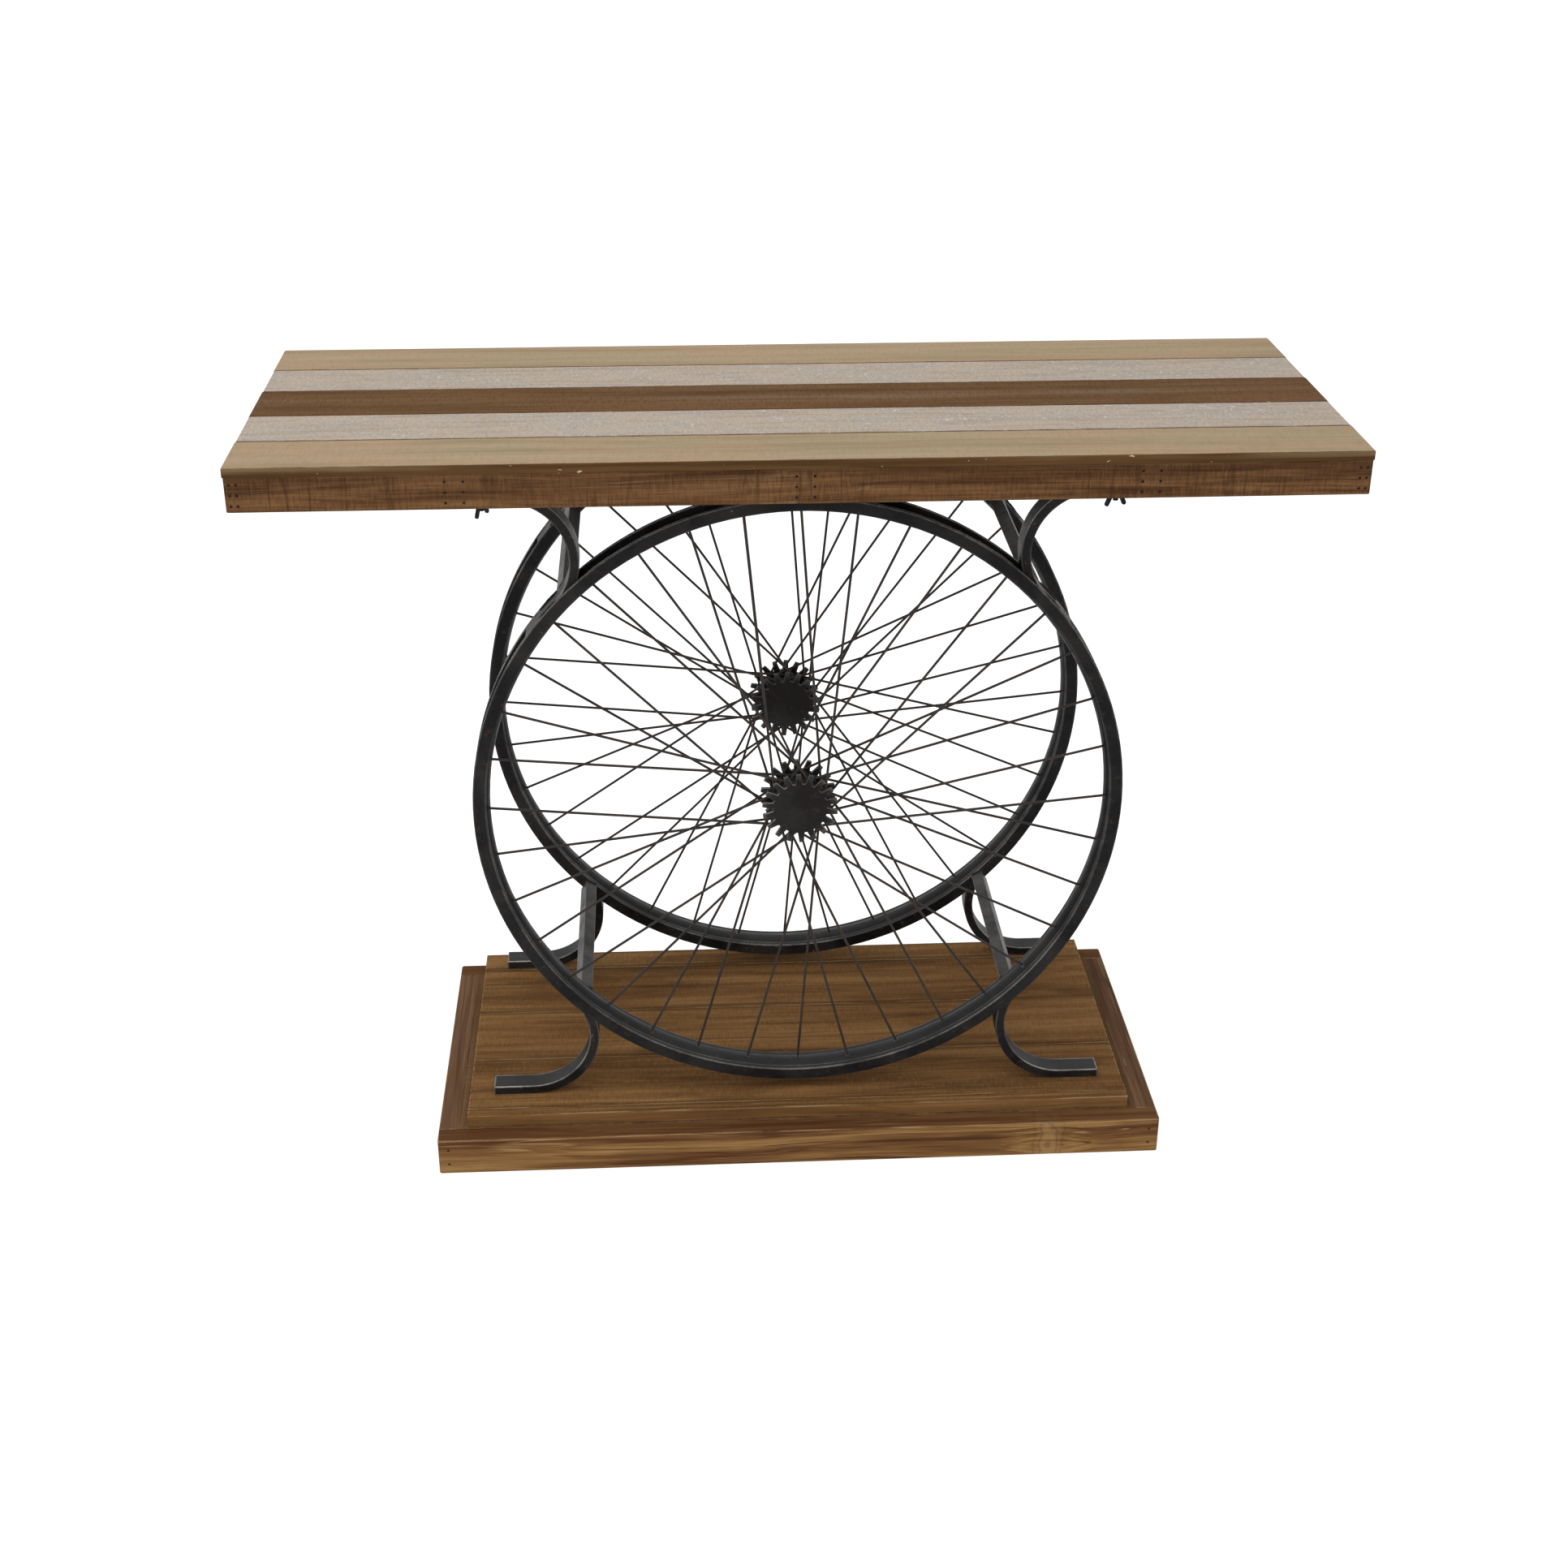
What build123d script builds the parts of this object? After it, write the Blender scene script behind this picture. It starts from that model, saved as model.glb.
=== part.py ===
from build123d import *
import math
import os

os.makedirs("parts", exist_ok=True)

# Console table carried by two wire-spoked wheels that stand one behind the other on a two-step base.
# X runs along the table, Y from front to rear, Z up. The origin is on the floor, midway between the
# wheel planes. All sizes are in millimetres.

# ------------------------------------------------------------------ driving dimensions

# Top: planks along the length, on a frame of rails with three cross battens
top_length = 1200.0
plank_widths = (90.0, 90.0, 94.0, 86.0, 88.0)  # front to rear
plank_end_trims = (0.0, 0.8, 0.3, 1.1, 0.5)  # how far each plank stops short at either end
plank_thickness = 10.0
plank_edge_radius = 1.5
plank_overhang = 1.0
apron_height = 38.0
apron_thickness = 22.0
batten_width = 70.0
batten_drop = 4.2  # how far the battens reach below the rails
batten_past_bolt = 20.5  # centre of an outer batten, measured outward from the bolts that hold it
wood_edge_radius = 0.8
wood_corner_radius = 3.0  # upright corners that stand free at the front and the rear

# Nails through the front and rear rails into the battens and the end rails
nail_diameter = 1.8
nail_length = 50.0
nail_head_diameter = 2.8
nail_head_thickness = 0.8
nail_head_sink = 0.7  # how far the head is driven below the wood
nail_column_offset = 9.5  # from the middle of a batten to each of its two columns
nail_end_column_offset = 3.5  # the same at the ends, where the thinner end rail is hit
nail_end_inset = 9.5  # from the end of the rail to the middle of those two columns
nail_rows = 3
nail_row_pitch = 11.5
nail_rows_drop = 0.6  # how far the middle row lies below the middle of the rail

# Wheels
wheel_spacing = 294.0  # between the two rim planes
rim_radius = 373.4
rim_width = 36.4
rim_channel_width = 28.0  # the channel opens away from the hub
rim_channel_depth = 12.0
rim_wall = 2.9
rim_well_width = 18.0
rim_well_depth = 4.0
rim_bead_margin = 2.5  # how far the bead reaches past the well on each side
rim_edge_radius = 0.9

# Hubs: a short tube with a toothed disc at each end
hub_tube_diameter = 50.8
hub_tube_wall = 3.0
hub_disc_pitch = 38.0  # between the middles of the two discs
hub_disc_thickness = 3.0
hub_disc_root_radius = 31.5
hub_disc_tip_radius = 43.6
tooth_count = 18
tooth_root_width = 8.8
tooth_tip_width = 5.4
front_hub_shift = 0.0  # along Y, from the rim plane
rear_hub_shift = -6.0
front_disc_turn = 12.6  # degrees
rear_disc_turn = 7.0

# Spokes
spokes_per_wheel = 36
spoke_diameter = 3.0
spoke_inner_offset = 10.0  # from the hub middle to the inner set beside either disc
spoke_rim_stagger = 3.4  # how far the outer sets meet the rim beside its centre line
spoke_head_diameter = 5.0
spoke_head_height = 1.4

# Bent flat bar that makes the feet and the upper brackets
bar_width = 25.0
bar_thickness = 11.0
foot_bend_radius = 72.0  # concave side
foot_bend_x = 324.0  # centre of the bend
bracket_bend_radius = 69.0
bracket_bend_x = 321.0
bar_straight_length = 47.0  # flat end beyond the bend
bar_rim_length = 50.0  # stretch that lies in the rim channel

# Square bars that tie the two wheels together
cross_bar_size = 15.0
cross_bar_rim_inset = 5.7  # bar centre, measured in from the outer edge of the rim
cross_bar_angle = 45.4  # degrees above and below the horizontal
cross_bar_roll = 30.0  # degrees that its broad face leans towards the hub

# Bolts, washers and wing nuts that hold the top on the brackets
bolt_diameter = 6.0
bolt_past_bend = 22.5
bolt_tail = 13.0  # below the bracket
bolt_head_diameter = 12.0
bolt_head_height = 4.0
bolt_head_sink = 1.0
washer_diameter = 12.5
washer_thickness = 1.6
nut_hub_diameter = 10.6
nut_hub_height = 8.0
nut_hub_taper = 4.0  # degrees
wing_width = 4.8
wing_thickness = 2.6
wing_root_radius = 5.0  # middle of the wing where it leaves the hub
wing_root_drop = 3.6
wing_tip_radius = 10.2
wing_tip_drop = 15.0
wing_turns = {"front_left": 62.0, "front_right": 15.0, "rear_left": -25.0, "rear_right": 35.0}

# Base
base_length = 872.0
base_depth = 402.0
base_height = 46.7
base_board_thickness = 24.5
base_past_rear_wheel = 24.3  # from the rear rim plane to the back of the base
sub_panel_thickness = 18.0
cleat_width = 40.0
cleat_inside_bend = 44.0  # from the centre of a foot's bend inward to the middle of the cleat
deck_length = 802.7
deck_thickness = 16.0
deck_board_widths = (14.0, 106.0, 108.0, 106.0, 40.5)  # front to rear, flush with the rear of the base
base_nail_heights = (13.0, 33.0)

# Screws from below into the feet
foot_screw_diameter = 5.0
foot_screw_head_diameter = 9.5
foot_screw_head_height = 3.5
foot_screw_depth = 8.0  # of the hole in the bar
foot_screw_end_gap = 2.5  # between the screw's end and the end of its hole
foot_screw_inset = 6.5  # from the middle of the bar towards the middle of the table
foot_screw_steps = (6.0, 36.0)  # beyond the end of the bend

# Clearances
weld_gap = 0.1  # between curved faces that are welded together
bolt_clearance = 0.3  # radial, in wood and bar
nail_clearance = 0.05
foot_screw_clearance = 0.05  # radial, in the bar
washer_clearance = 0.25
thread_clearance = 0.06  # radial, between bolt and wing nut
nut_seat_gap = 0.2
spoke_clearance = 0.15  # radial, in the rim
spoke_seat_gap = 0.3  # between a spoke head and the curved floor of the well
sink_clearance = 0.5  # radial, around a sunk bolt or nail head

# ------------------------------------------------------------------ places worked out from them

top_depth = sum(plank_widths)
apron_length = top_length - 2 * plank_overhang
apron_depth = top_depth - 2 * plank_overhang
rail_inner_y = apron_depth / 2 - apron_thickness
rail_inner_x = apron_length / 2 - apron_thickness

deck_top = base_height + deck_thickness
base_rear = wheel_spacing / 2 + base_past_rear_wheel
base_front = base_rear - base_depth
cleat_x = foot_bend_x - cleat_inside_bend
panel_front = base_front + base_board_thickness
panel_rear = base_rear - base_board_thickness
panel_half_length = base_length / 2 - base_board_thickness
panel_bottom = base_height - sub_panel_thickness
deck_front = base_rear - sum(deck_board_widths)

rim_floor_radius = rim_radius - rim_channel_depth
rim_shoulder_radius = rim_floor_radius - rim_wall
rim_well_radius = rim_floor_radius - rim_well_depth
rim_bead_radius = rim_well_radius - rim_wall

bar_inner_radius = rim_floor_radius + weld_gap
bar_outer_radius = bar_inner_radius + bar_thickness
bar_rim_angle = math.degrees(bar_rim_length / bar_inner_radius)

# Height of a bend's centre below or above the wheel centre, where its bar runs into the rim channel
foot_bend_height = math.sqrt((bar_outer_radius + foot_bend_radius) ** 2 - foot_bend_x**2)
bracket_bend_height = math.sqrt((bar_outer_radius + bracket_bend_radius) ** 2 - bracket_bend_x**2)

wheel_z = deck_top + bar_thickness + foot_bend_radius + foot_bend_height
bracket_underside = wheel_z + bracket_bend_height + bracket_bend_radius
bracket_top = bracket_underside + bar_thickness
rail_underside = bracket_top + batten_drop
batten_top = rail_underside + apron_height
washer_underside = bracket_underside - washer_thickness

bolt_x = bracket_bend_x + bolt_past_bend
bolt_y = wheel_spacing / 2
batten_x = bolt_x + batten_past_bolt

wheel_sides = {"front": -1, "rear": 1}
end_sides = {"left": -1, "right": 1}
hub_shifts = {"front": front_hub_shift, "rear": rear_hub_shift}
disc_turns = {"front": front_disc_turn, "rear": rear_disc_turn}


def finish(piece, label):
    """Name a finished piece and write it to its own STEP file."""
    piece.part.label = label
    export_step(piece.part, f"parts/{label}.step")


def round_free_corners(piece, side):
    """Round the upright corners on the front (-1) or rear (+1) side of the piece being built."""
    uprights = piece.edges().filter_by(Axis.Z).sort_by(Axis.Y)
    fillet(uprights[:2] if side < 0 else uprights[-2:], radius=wood_corner_radius)


def make_block(x_range, y_range, z_range, free_side=0):
    """A straight piece of wood with softened edges, and with rounder corners on the side that stands free."""
    with BuildPart() as block:
        middle_x = (x_range[0] + x_range[1]) / 2
        middle_y = (y_range[0] + y_range[1]) / 2
        with BuildSketch(Plane.XY.offset(z_range[0])):
            with Locations((middle_x, middle_y)):
                Rectangle(x_range[1] - x_range[0], y_range[1] - y_range[0])
        extrude(amount=z_range[1] - z_range[0])
        uprights = block.edges().filter_by(Axis.Z).sort_by(Axis.Y)
        if free_side:
            round_free_corners(block, free_side)
            uprights = block.edges().filter_by(Axis.Z).sort_by(Axis.Y)
            uprights = uprights[-2:] if free_side < 0 else uprights[:2]
        fillet(block.faces().filter_by(Axis.Z).edges() + uprights, radius=wood_edge_radius)
    return block


# ------------------------------------------------------------------ nails and holes in the rails


def rail_nail_planes(side):
    """Where the nails enter the front (-1) or rear (+1) rail, each plane facing out of the wood."""
    columns = []
    for middle_x in (-batten_x, 0.0, batten_x):
        columns += [middle_x - nail_column_offset, middle_x + nail_column_offset]
    end_x = apron_length / 2 - nail_end_inset
    for middle_x in (-end_x, end_x):
        columns += [middle_x - nail_end_column_offset, middle_x + nail_end_column_offset]
    middle_z = rail_underside + apron_height / 2 - nail_rows_drop
    heights = [middle_z + nail_row_pitch * (row - (nail_rows - 1) / 2) for row in range(nail_rows)]
    face_y = side * apron_depth / 2
    return [Plane((x, face_y, z), x_dir=(1, 0, 0), z_dir=(0, side, 0)) for x in columns for z in heights]


def base_nail_planes(side):
    """Where the nails enter the front (-1) or rear (+1) board of the base, over the side boards."""
    face_y = base_front if side < 0 else base_rear
    corner_x = base_length / 2 - base_board_thickness / 2
    corners = [(end * corner_x, z) for end in (-1, 1) for z in base_nail_heights]
    return [Plane((x, face_y, z), x_dir=(1, 0, 0), z_dir=(0, side, 0)) for x, z in corners]


def nail_holes(planes):
    """Cut a sunk hole for each nail into the part being built."""
    with Locations(*planes):
        CounterBoreHole(
            radius=nail_diameter / 2 + nail_clearance,
            counter_bore_radius=nail_head_diameter / 2 + nail_clearance,
            counter_bore_depth=nail_head_sink + nail_head_thickness,
            depth=nail_length + nail_head_sink,
        )


def make_nails(label, planes):
    """All nails of one kind, each a head and a shank."""
    with BuildPart() as nails:
        for plane in planes:
            with BuildSketch(plane.offset(-nail_head_sink)):
                Circle(nail_head_diameter / 2)
            extrude(amount=-nail_head_thickness)
            with BuildSketch(plane.offset(-nail_head_sink)):
                Circle(nail_diameter / 2)
            extrude(amount=-nail_length)
    finish(nails, label)


# ------------------------------------------------------------------ top


def make_planks():
    """Five planks side by side, each with its own width and slightly uneven ends."""
    front_y = -top_depth / 2
    free_sides = {1: -1, len(plank_widths): 1}
    for number, (width, trim) in enumerate(zip(plank_widths, plank_end_trims), start=1):
        half_length = top_length / 2 - trim
        with BuildPart() as plank:
            with BuildSketch(Plane.XY.offset(batten_top)):
                with Locations((0, front_y + width / 2)):
                    Rectangle(2 * half_length, width)
            extrude(amount=plank_thickness)
            if number in free_sides:
                round_free_corners(plank, free_sides[number])
            fillet(plank.faces().sort_by(Axis.Z)[-1].edges(), radius=plank_edge_radius)
        finish(plank, f"top_plank_{number}")
        front_y += width


def make_long_rails():
    """Front and rear rails of the top, full length, with the nail holes."""
    lengths = (-apron_length / 2, apron_length / 2)
    heights = (rail_underside, batten_top)
    for name, side in wheel_sides.items():
        depths = sorted((side * rail_inner_y, side * apron_depth / 2))
        rail = make_block(lengths, depths, heights, free_side=side)
        with rail:
            nail_holes(rail_nail_planes(side))
        finish(rail, f"apron_{name}")


def make_cross_pieces():
    """End rails and battens, which run from front rail to rear rail and take the nail points."""
    depths = (-rail_inner_y, rail_inner_y)
    pieces = {}
    for name, end in end_sides.items():
        limits = sorted((end * rail_inner_x, end * apron_length / 2))
        pieces[f"apron_{name}"] = (limits, rail_underside)
        outer = end * batten_x
        pieces[f"batten_{name}"] = ((outer - batten_width / 2, outer + batten_width / 2), bracket_top)
    pieces["batten_middle"] = ((-batten_width / 2, batten_width / 2), bracket_top)
    for label, (limits, underside) in pieces.items():
        piece = make_block(limits, depths, (underside, batten_top))
        with piece:
            nail_holes(rail_nail_planes(-1) + rail_nail_planes(1))
            with Locations(*bolt_planes(batten_top)):
                CounterBoreHole(
                    radius=bolt_diameter / 2 + bolt_clearance,
                    counter_bore_radius=bolt_head_diameter / 2 + sink_clearance,
                    counter_bore_depth=bolt_head_sink + bolt_head_height,
                    depth=batten_top - bracket_top,
                )
        finish(piece, label)


# ------------------------------------------------------------------ wheels


def wheel_plane(side):
    """Plane through the wheel centre with local x along X and local y along Y."""
    return Plane((0, side * wheel_spacing / 2, wheel_z))


def well_rise(reach):
    """How far the well's floor has risen at the given distance from the rim's centre line."""
    half_well = rim_well_width / 2
    floor_curve_radius = (half_well**2 + rim_well_depth**2) / (2 * rim_well_depth)
    return floor_curve_radius - math.sqrt(floor_curve_radius**2 - reach**2)


def spoke_ends(number, side, hub_shift):
    """Hub end and rim end of one spoke, and which disc (-1 front, +1 rear) it lies beside."""
    half_pitch = hub_disc_pitch / 2 - hub_disc_thickness / 2
    outer_offset = half_pitch - spoke_diameter / 2 - weld_gap
    family = number % 4  # outer front, inner rear, inner front, outer rear
    flange = -1 if family in (0, 2) else 1
    lean = -1 if family in (0, 1) else 1
    is_outer = family in (0, 3)
    hub_y = flange * (outer_offset if is_outer else spoke_inner_offset) + hub_shift
    rim_y = flange * (spoke_rim_stagger if is_outer else 0.0)
    head_seat_radius = rim_well_radius + well_rise(abs(rim_y) + spoke_head_diameter / 2) + spoke_seat_gap
    rim_end_radius = head_seat_radius + spoke_head_height
    hub_end_radius = hub_tube_diameter / 2 + spoke_diameter / 2 + weld_gap
    rim_angle = math.radians(number * 360 / spokes_per_wheel)
    hub_angle = rim_angle + lean * math.acos(hub_end_radius / rim_end_radius)
    middle_y = side * wheel_spacing / 2
    hub_end = Vector(
        hub_end_radius * math.cos(hub_angle), middle_y + hub_y, wheel_z + hub_end_radius * math.sin(hub_angle)
    )
    rim_end = Vector(
        rim_end_radius * math.cos(rim_angle), middle_y + rim_y, wheel_z + rim_end_radius * math.sin(rim_angle)
    )
    return hub_end, rim_end, flange


def make_rim(name, side):
    """Rolled rim: a channel that opens outward, with a well that shows as a bead towards the hub."""
    half_width = rim_width / 2
    half_channel = rim_channel_width / 2
    half_well = rim_well_width / 2
    half_bead = half_well + rim_bead_margin
    with BuildPart() as rim:
        with BuildSketch(wheel_plane(side)) as section:
            with BuildLine():
                Line((rim_radius, half_width), (rim_shoulder_radius, half_width))
                Line((rim_shoulder_radius, half_width), (rim_shoulder_radius, half_bead))
                ThreePointArc(
                    (rim_shoulder_radius, half_bead),
                    (rim_bead_radius, 0),
                    (rim_shoulder_radius, -half_bead),
                )
                Line((rim_shoulder_radius, -half_bead), (rim_shoulder_radius, -half_width))
                Line((rim_shoulder_radius, -half_width), (rim_radius, -half_width))
                Line((rim_radius, -half_width), (rim_radius, -half_channel))
                Line((rim_radius, -half_channel), (rim_floor_radius, -half_channel))
                Line((rim_floor_radius, -half_channel), (rim_floor_radius, -half_well))
                ThreePointArc(
                    (rim_floor_radius, -half_well),
                    (rim_well_radius, 0),
                    (rim_floor_radius, half_well),
                )
                Line((rim_floor_radius, half_well), (rim_floor_radius, half_channel))
                Line((rim_floor_radius, half_channel), (rim_radius, half_channel))
                Line((rim_radius, half_channel), (rim_radius, half_width))
            make_face()
            outer_corners = section.vertices().group_by(Axis.Y)
            fillet(outer_corners[0] + outer_corners[-1], radius=rim_edge_radius)
        revolve(axis=Axis(wheel_plane(side).origin, (0, 1, 0)))
        for number in range(spokes_per_wheel):
            hub_end, rim_end, _ = spoke_ends(number, side, hub_shifts[name])
            with Locations(Plane(rim_end, z_dir=hub_end - rim_end)):
                Cylinder(
                    spoke_diameter / 2 + spoke_clearance,
                    2 * rim_channel_depth,
                    mode=Mode.SUBTRACT,
                )
    finish(rim, f"rim_{name}")


def make_hub(name, side):
    """Hub tube and the two toothed discs on its ends."""
    middle_y = side * wheel_spacing / 2 + hub_shifts[name]
    tube_length = hub_disc_pitch - hub_disc_thickness
    tooth_height = hub_disc_tip_radius - hub_disc_root_radius
    hub_face = Plane((0, middle_y, wheel_z), x_dir=(1, 0, 0), z_dir=(0, -1, 0))
    with BuildPart() as tube:
        with BuildSketch(hub_face):
            Circle(hub_tube_diameter / 2)
            Circle(hub_tube_diameter / 2 - hub_tube_wall, mode=Mode.SUBTRACT)
        extrude(amount=tube_length / 2, both=True)
    finish(tube, f"hub_tube_{name}")
    for position, disc_side in wheel_sides.items():
        with BuildPart() as disc:
            with BuildSketch(hub_face.offset(-disc_side * hub_disc_pitch / 2)):
                Circle(hub_disc_root_radius)
                with PolarLocations(hub_disc_root_radius, tooth_count, start_angle=disc_turns[name]):
                    Polygon(
                        (-tooth_root_width / 2, tooth_root_width / 2),
                        (tooth_height, tooth_tip_width / 2),
                        (tooth_height, -tooth_tip_width / 2),
                        (-tooth_root_width / 2, -tooth_root_width / 2),
                        align=None,
                    )
            extrude(amount=hub_disc_thickness / 2, both=True)
        finish(disc, f"hub_disc_{name}_{position}")


def make_spokes(name, side):
    """The spokes beside each disc, eighteen to a set, each a rod with a head in the rim's well."""
    for position, disc_side in wheel_sides.items():
        with BuildPart() as spokes:
            for number in range(spokes_per_wheel):
                hub_end, rim_end, flange = spoke_ends(number, side, hub_shifts[name])
                if flange != disc_side:
                    continue
                rod = Plane(hub_end, z_dir=rim_end - hub_end)
                length = (rim_end - hub_end).length
                with BuildSketch(rod):
                    Circle(spoke_diameter / 2)
                extrude(amount=length)
                with BuildSketch(rod.offset(length - spoke_head_height)):
                    Circle(spoke_head_diameter / 2)
                extrude(amount=spoke_head_height)
        finish(spokes, f"spokes_{name}_{position}")


# ------------------------------------------------------------------ feet, brackets and cross bars


def bent_bar(side, end, level, bend_centre, bend_radius):
    """Flat bar from the rim channel through its bend to the flat end. Level is -1 for a foot and 1 for a
    bracket."""
    x_dir = Vector(end, 0, 0)
    y_dir = Vector(0, 0, level)
    quadrant = Plane((0, side * wheel_spacing / 2, wheel_z), x_dir=x_dir, z_dir=x_dir.cross(y_dir))
    bend_x, bend_height = bend_centre
    tangent_angle = math.degrees(math.atan2(bend_height, bend_x))
    bend_start = 180 + tangent_angle
    bend_sweep = 90 + tangent_angle
    bar_end_x = bend_x + bar_straight_length
    near_y = bend_height + bend_radius
    far_y = near_y + bar_thickness
    rim_start = tangent_angle - bar_rim_angle
    with BuildPart() as bar:
        with BuildSketch(quadrant):
            with BuildLine():
                inner_rim = CenterArc((0, 0), bar_inner_radius, rim_start, bar_rim_angle)
                CenterArc(bend_centre, bend_radius + bar_thickness, bend_start, -bend_sweep)
                Polyline((bend_x, far_y), (bar_end_x, far_y), (bar_end_x, near_y), (bend_x, near_y))
                CenterArc(bend_centre, bend_radius, bend_start, -bend_sweep)
                outer_rim = CenterArc((0, 0), bar_outer_radius, rim_start, bar_rim_angle)
                Line(inner_rim @ 0, outer_rim @ 0)
            make_face()
        extrude(amount=bar_width / 2, both=True)
    return bar


def make_feet():
    """Four feet on the deck, each tapped from below for its screws."""
    for name, side in wheel_sides.items():
        for end_name, end in end_sides.items():
            foot = bent_bar(side, end, -1, (foot_bend_x, foot_bend_height), foot_bend_radius)
            with foot:
                with Locations(*foot_screw_planes(deck_top)):
                    Hole(foot_screw_diameter / 2 + foot_screw_clearance, depth=foot_screw_depth)
            finish(foot, f"foot_{name}_{end_name}")


def make_brackets():
    """Four brackets under the top, each drilled for its bolt."""
    for name, side in wheel_sides.items():
        for end_name, end in end_sides.items():
            bracket = bent_bar(side, end, 1, (bracket_bend_x, bracket_bend_height), bracket_bend_radius)
            with bracket:
                with Locations(*bolt_planes(bracket_top)):
                    Hole(bolt_diameter / 2 + bolt_clearance, depth=bar_thickness)
            finish(bracket, f"bracket_{name}_{end_name}")


def make_cross_bars():
    """Four square bars welded between the inner sides of the two rims."""
    centre_radius = rim_radius - cross_bar_rim_inset
    half_length = wheel_spacing / 2 - rim_width / 2
    for level_name, level in {"lower": -1, "upper": 1}.items():
        for end_name, end in end_sides.items():
            angle = math.radians(cross_bar_angle)
            x = end * centre_radius * math.cos(angle)
            z = wheel_z + level * centre_radius * math.sin(angle)
            with BuildPart() as cross_bar:
                with BuildSketch(Plane((x, 0, z), x_dir=(1, 0, 0), z_dir=(0, -1, 0))):
                    Rectangle(cross_bar_size, cross_bar_size, rotation=end * cross_bar_roll)
                extrude(amount=half_length, both=True)
            finish(cross_bar, f"cross_bar_{level_name}_{end_name}")


# ------------------------------------------------------------------ bolts, washers and wing nuts


def bolt_planes(height):
    """A level plane on each bolt axis at the given height."""
    return [Plane((end * bolt_x, side * bolt_y, height)) for end in (-1, 1) for side in (-1, 1)]


def make_bolts():
    """Four bolts with round heads sunk into the battens."""
    head_top = batten_top - bolt_head_sink
    bolt_end = bracket_underside - bolt_tail
    with BuildPart() as bolts:
        for plane in bolt_planes(bolt_end):
            with BuildSketch(plane):
                Circle(bolt_diameter / 2)
            extrude(amount=head_top - bolt_end)
            with BuildSketch(plane.offset(head_top - bolt_end)):
                Circle(bolt_head_diameter / 2)
            extrude(amount=-bolt_head_height)
    finish(bolts, "bolts")


def make_washers():
    """Four washers between the brackets and the wing nuts."""
    with BuildPart() as washers:
        for plane in bolt_planes(washer_underside):
            with BuildSketch(plane):
                Circle(washer_diameter / 2)
                Circle(bolt_diameter / 2 + washer_clearance, mode=Mode.SUBTRACT)
            extrude(amount=washer_thickness)
    finish(washers, "washers")


def make_wing_nut(name, x, y, turn):
    """A wing nut on its bolt, with the wings hanging down and out from the hub."""
    radial = Vector(math.cos(math.radians(turn)), math.sin(math.radians(turn)), 0)
    down = Vector(0, 0, -1)
    seat = Vector(x, y, washer_underside - nut_seat_gap)
    wing_run = wing_tip_radius - wing_root_radius
    wing_drop = wing_tip_drop - wing_root_drop
    with BuildPart() as nut:
        with BuildSketch(Plane(seat, x_dir=radial, z_dir=down)):
            Circle(nut_hub_diameter / 2)
        extrude(amount=nut_hub_height, taper=nut_hub_taper)
        with BuildSketch(Plane(seat, x_dir=radial, z_dir=radial.cross(down))):
            with Locations(((wing_root_radius + wing_tip_radius) / 2, (wing_root_drop + wing_tip_drop) / 2)):
                SlotCenterToCenter(
                    math.hypot(wing_run, wing_drop),
                    wing_width,
                    rotation=math.degrees(math.atan2(wing_drop, wing_run)),
                )
            mirror(about=Plane.YZ)
        extrude(amount=wing_thickness / 2, both=True)
        with BuildSketch(Plane(seat, x_dir=radial, z_dir=down)):
            Circle(bolt_diameter / 2 + thread_clearance)
        extrude(amount=wing_tip_drop + wing_width, mode=Mode.SUBTRACT)
    finish(nut, f"wing_nut_{name}")


def make_wing_nuts():
    """One wing nut on each bolt, each left at its own angle."""
    for name, side in wheel_sides.items():
        for end_name, end in end_sides.items():
            corner = f"{name}_{end_name}"
            make_wing_nut(corner, end * bolt_x, side * bolt_y, wing_turns[corner])


# ------------------------------------------------------------------ base


def foot_screw_planes(height):
    """A level plane facing down on each foot screw at the given height."""
    columns = [foot_bend_x + step for step in foot_screw_steps]
    row_y = wheel_spacing / 2 - foot_screw_inset
    places = [(end * x, side * row_y) for end in (-1, 1) for x in columns for side in (-1, 1)]
    return [Plane((x, y, height), x_dir=(1, 0, 0), z_dir=(0, 0, -1)) for x, y in places]


def foot_screw_holes(top):
    """Cut the clearance holes for the foot screws through the board being built."""
    with Locations(*foot_screw_planes(top)):
        Hole(foot_screw_diameter / 2 + bolt_clearance)


def make_base_boards():
    """Front and rear boards over the full length, side boards between them."""
    heights = (0, base_height)
    half = base_length / 2
    limits = {
        "front": ((-half, half), (base_front, panel_front)),
        "rear": ((-half, half), (panel_rear, base_rear)),
        "left": ((-half, -panel_half_length), (panel_front, panel_rear)),
        "right": ((panel_half_length, half), (panel_front, panel_rear)),
    }
    for name, (x_limits, y_limits) in limits.items():
        board = make_block(x_limits, y_limits, heights, free_side=wheel_sides.get(name, 0))
        with board:
            nail_holes(base_nail_planes(-1) + base_nail_planes(1))
        finish(board, f"base_board_{name}")


def make_sub_panel():
    """Panel inside the base boards, flush with their tops, with its three cleats down to the floor."""
    depths = (panel_front, panel_rear)
    panel = make_block((-panel_half_length, panel_half_length), depths, (panel_bottom, base_height))
    with panel:
        foot_screw_holes(base_height)
    finish(panel, "sub_panel")
    for name, x in {"left": -cleat_x, "middle": 0.0, "right": cleat_x}.items():
        cleat = make_block((x - cleat_width / 2, x + cleat_width / 2), depths, (0, panel_bottom))
        finish(cleat, f"cleat_{name}")


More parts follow.
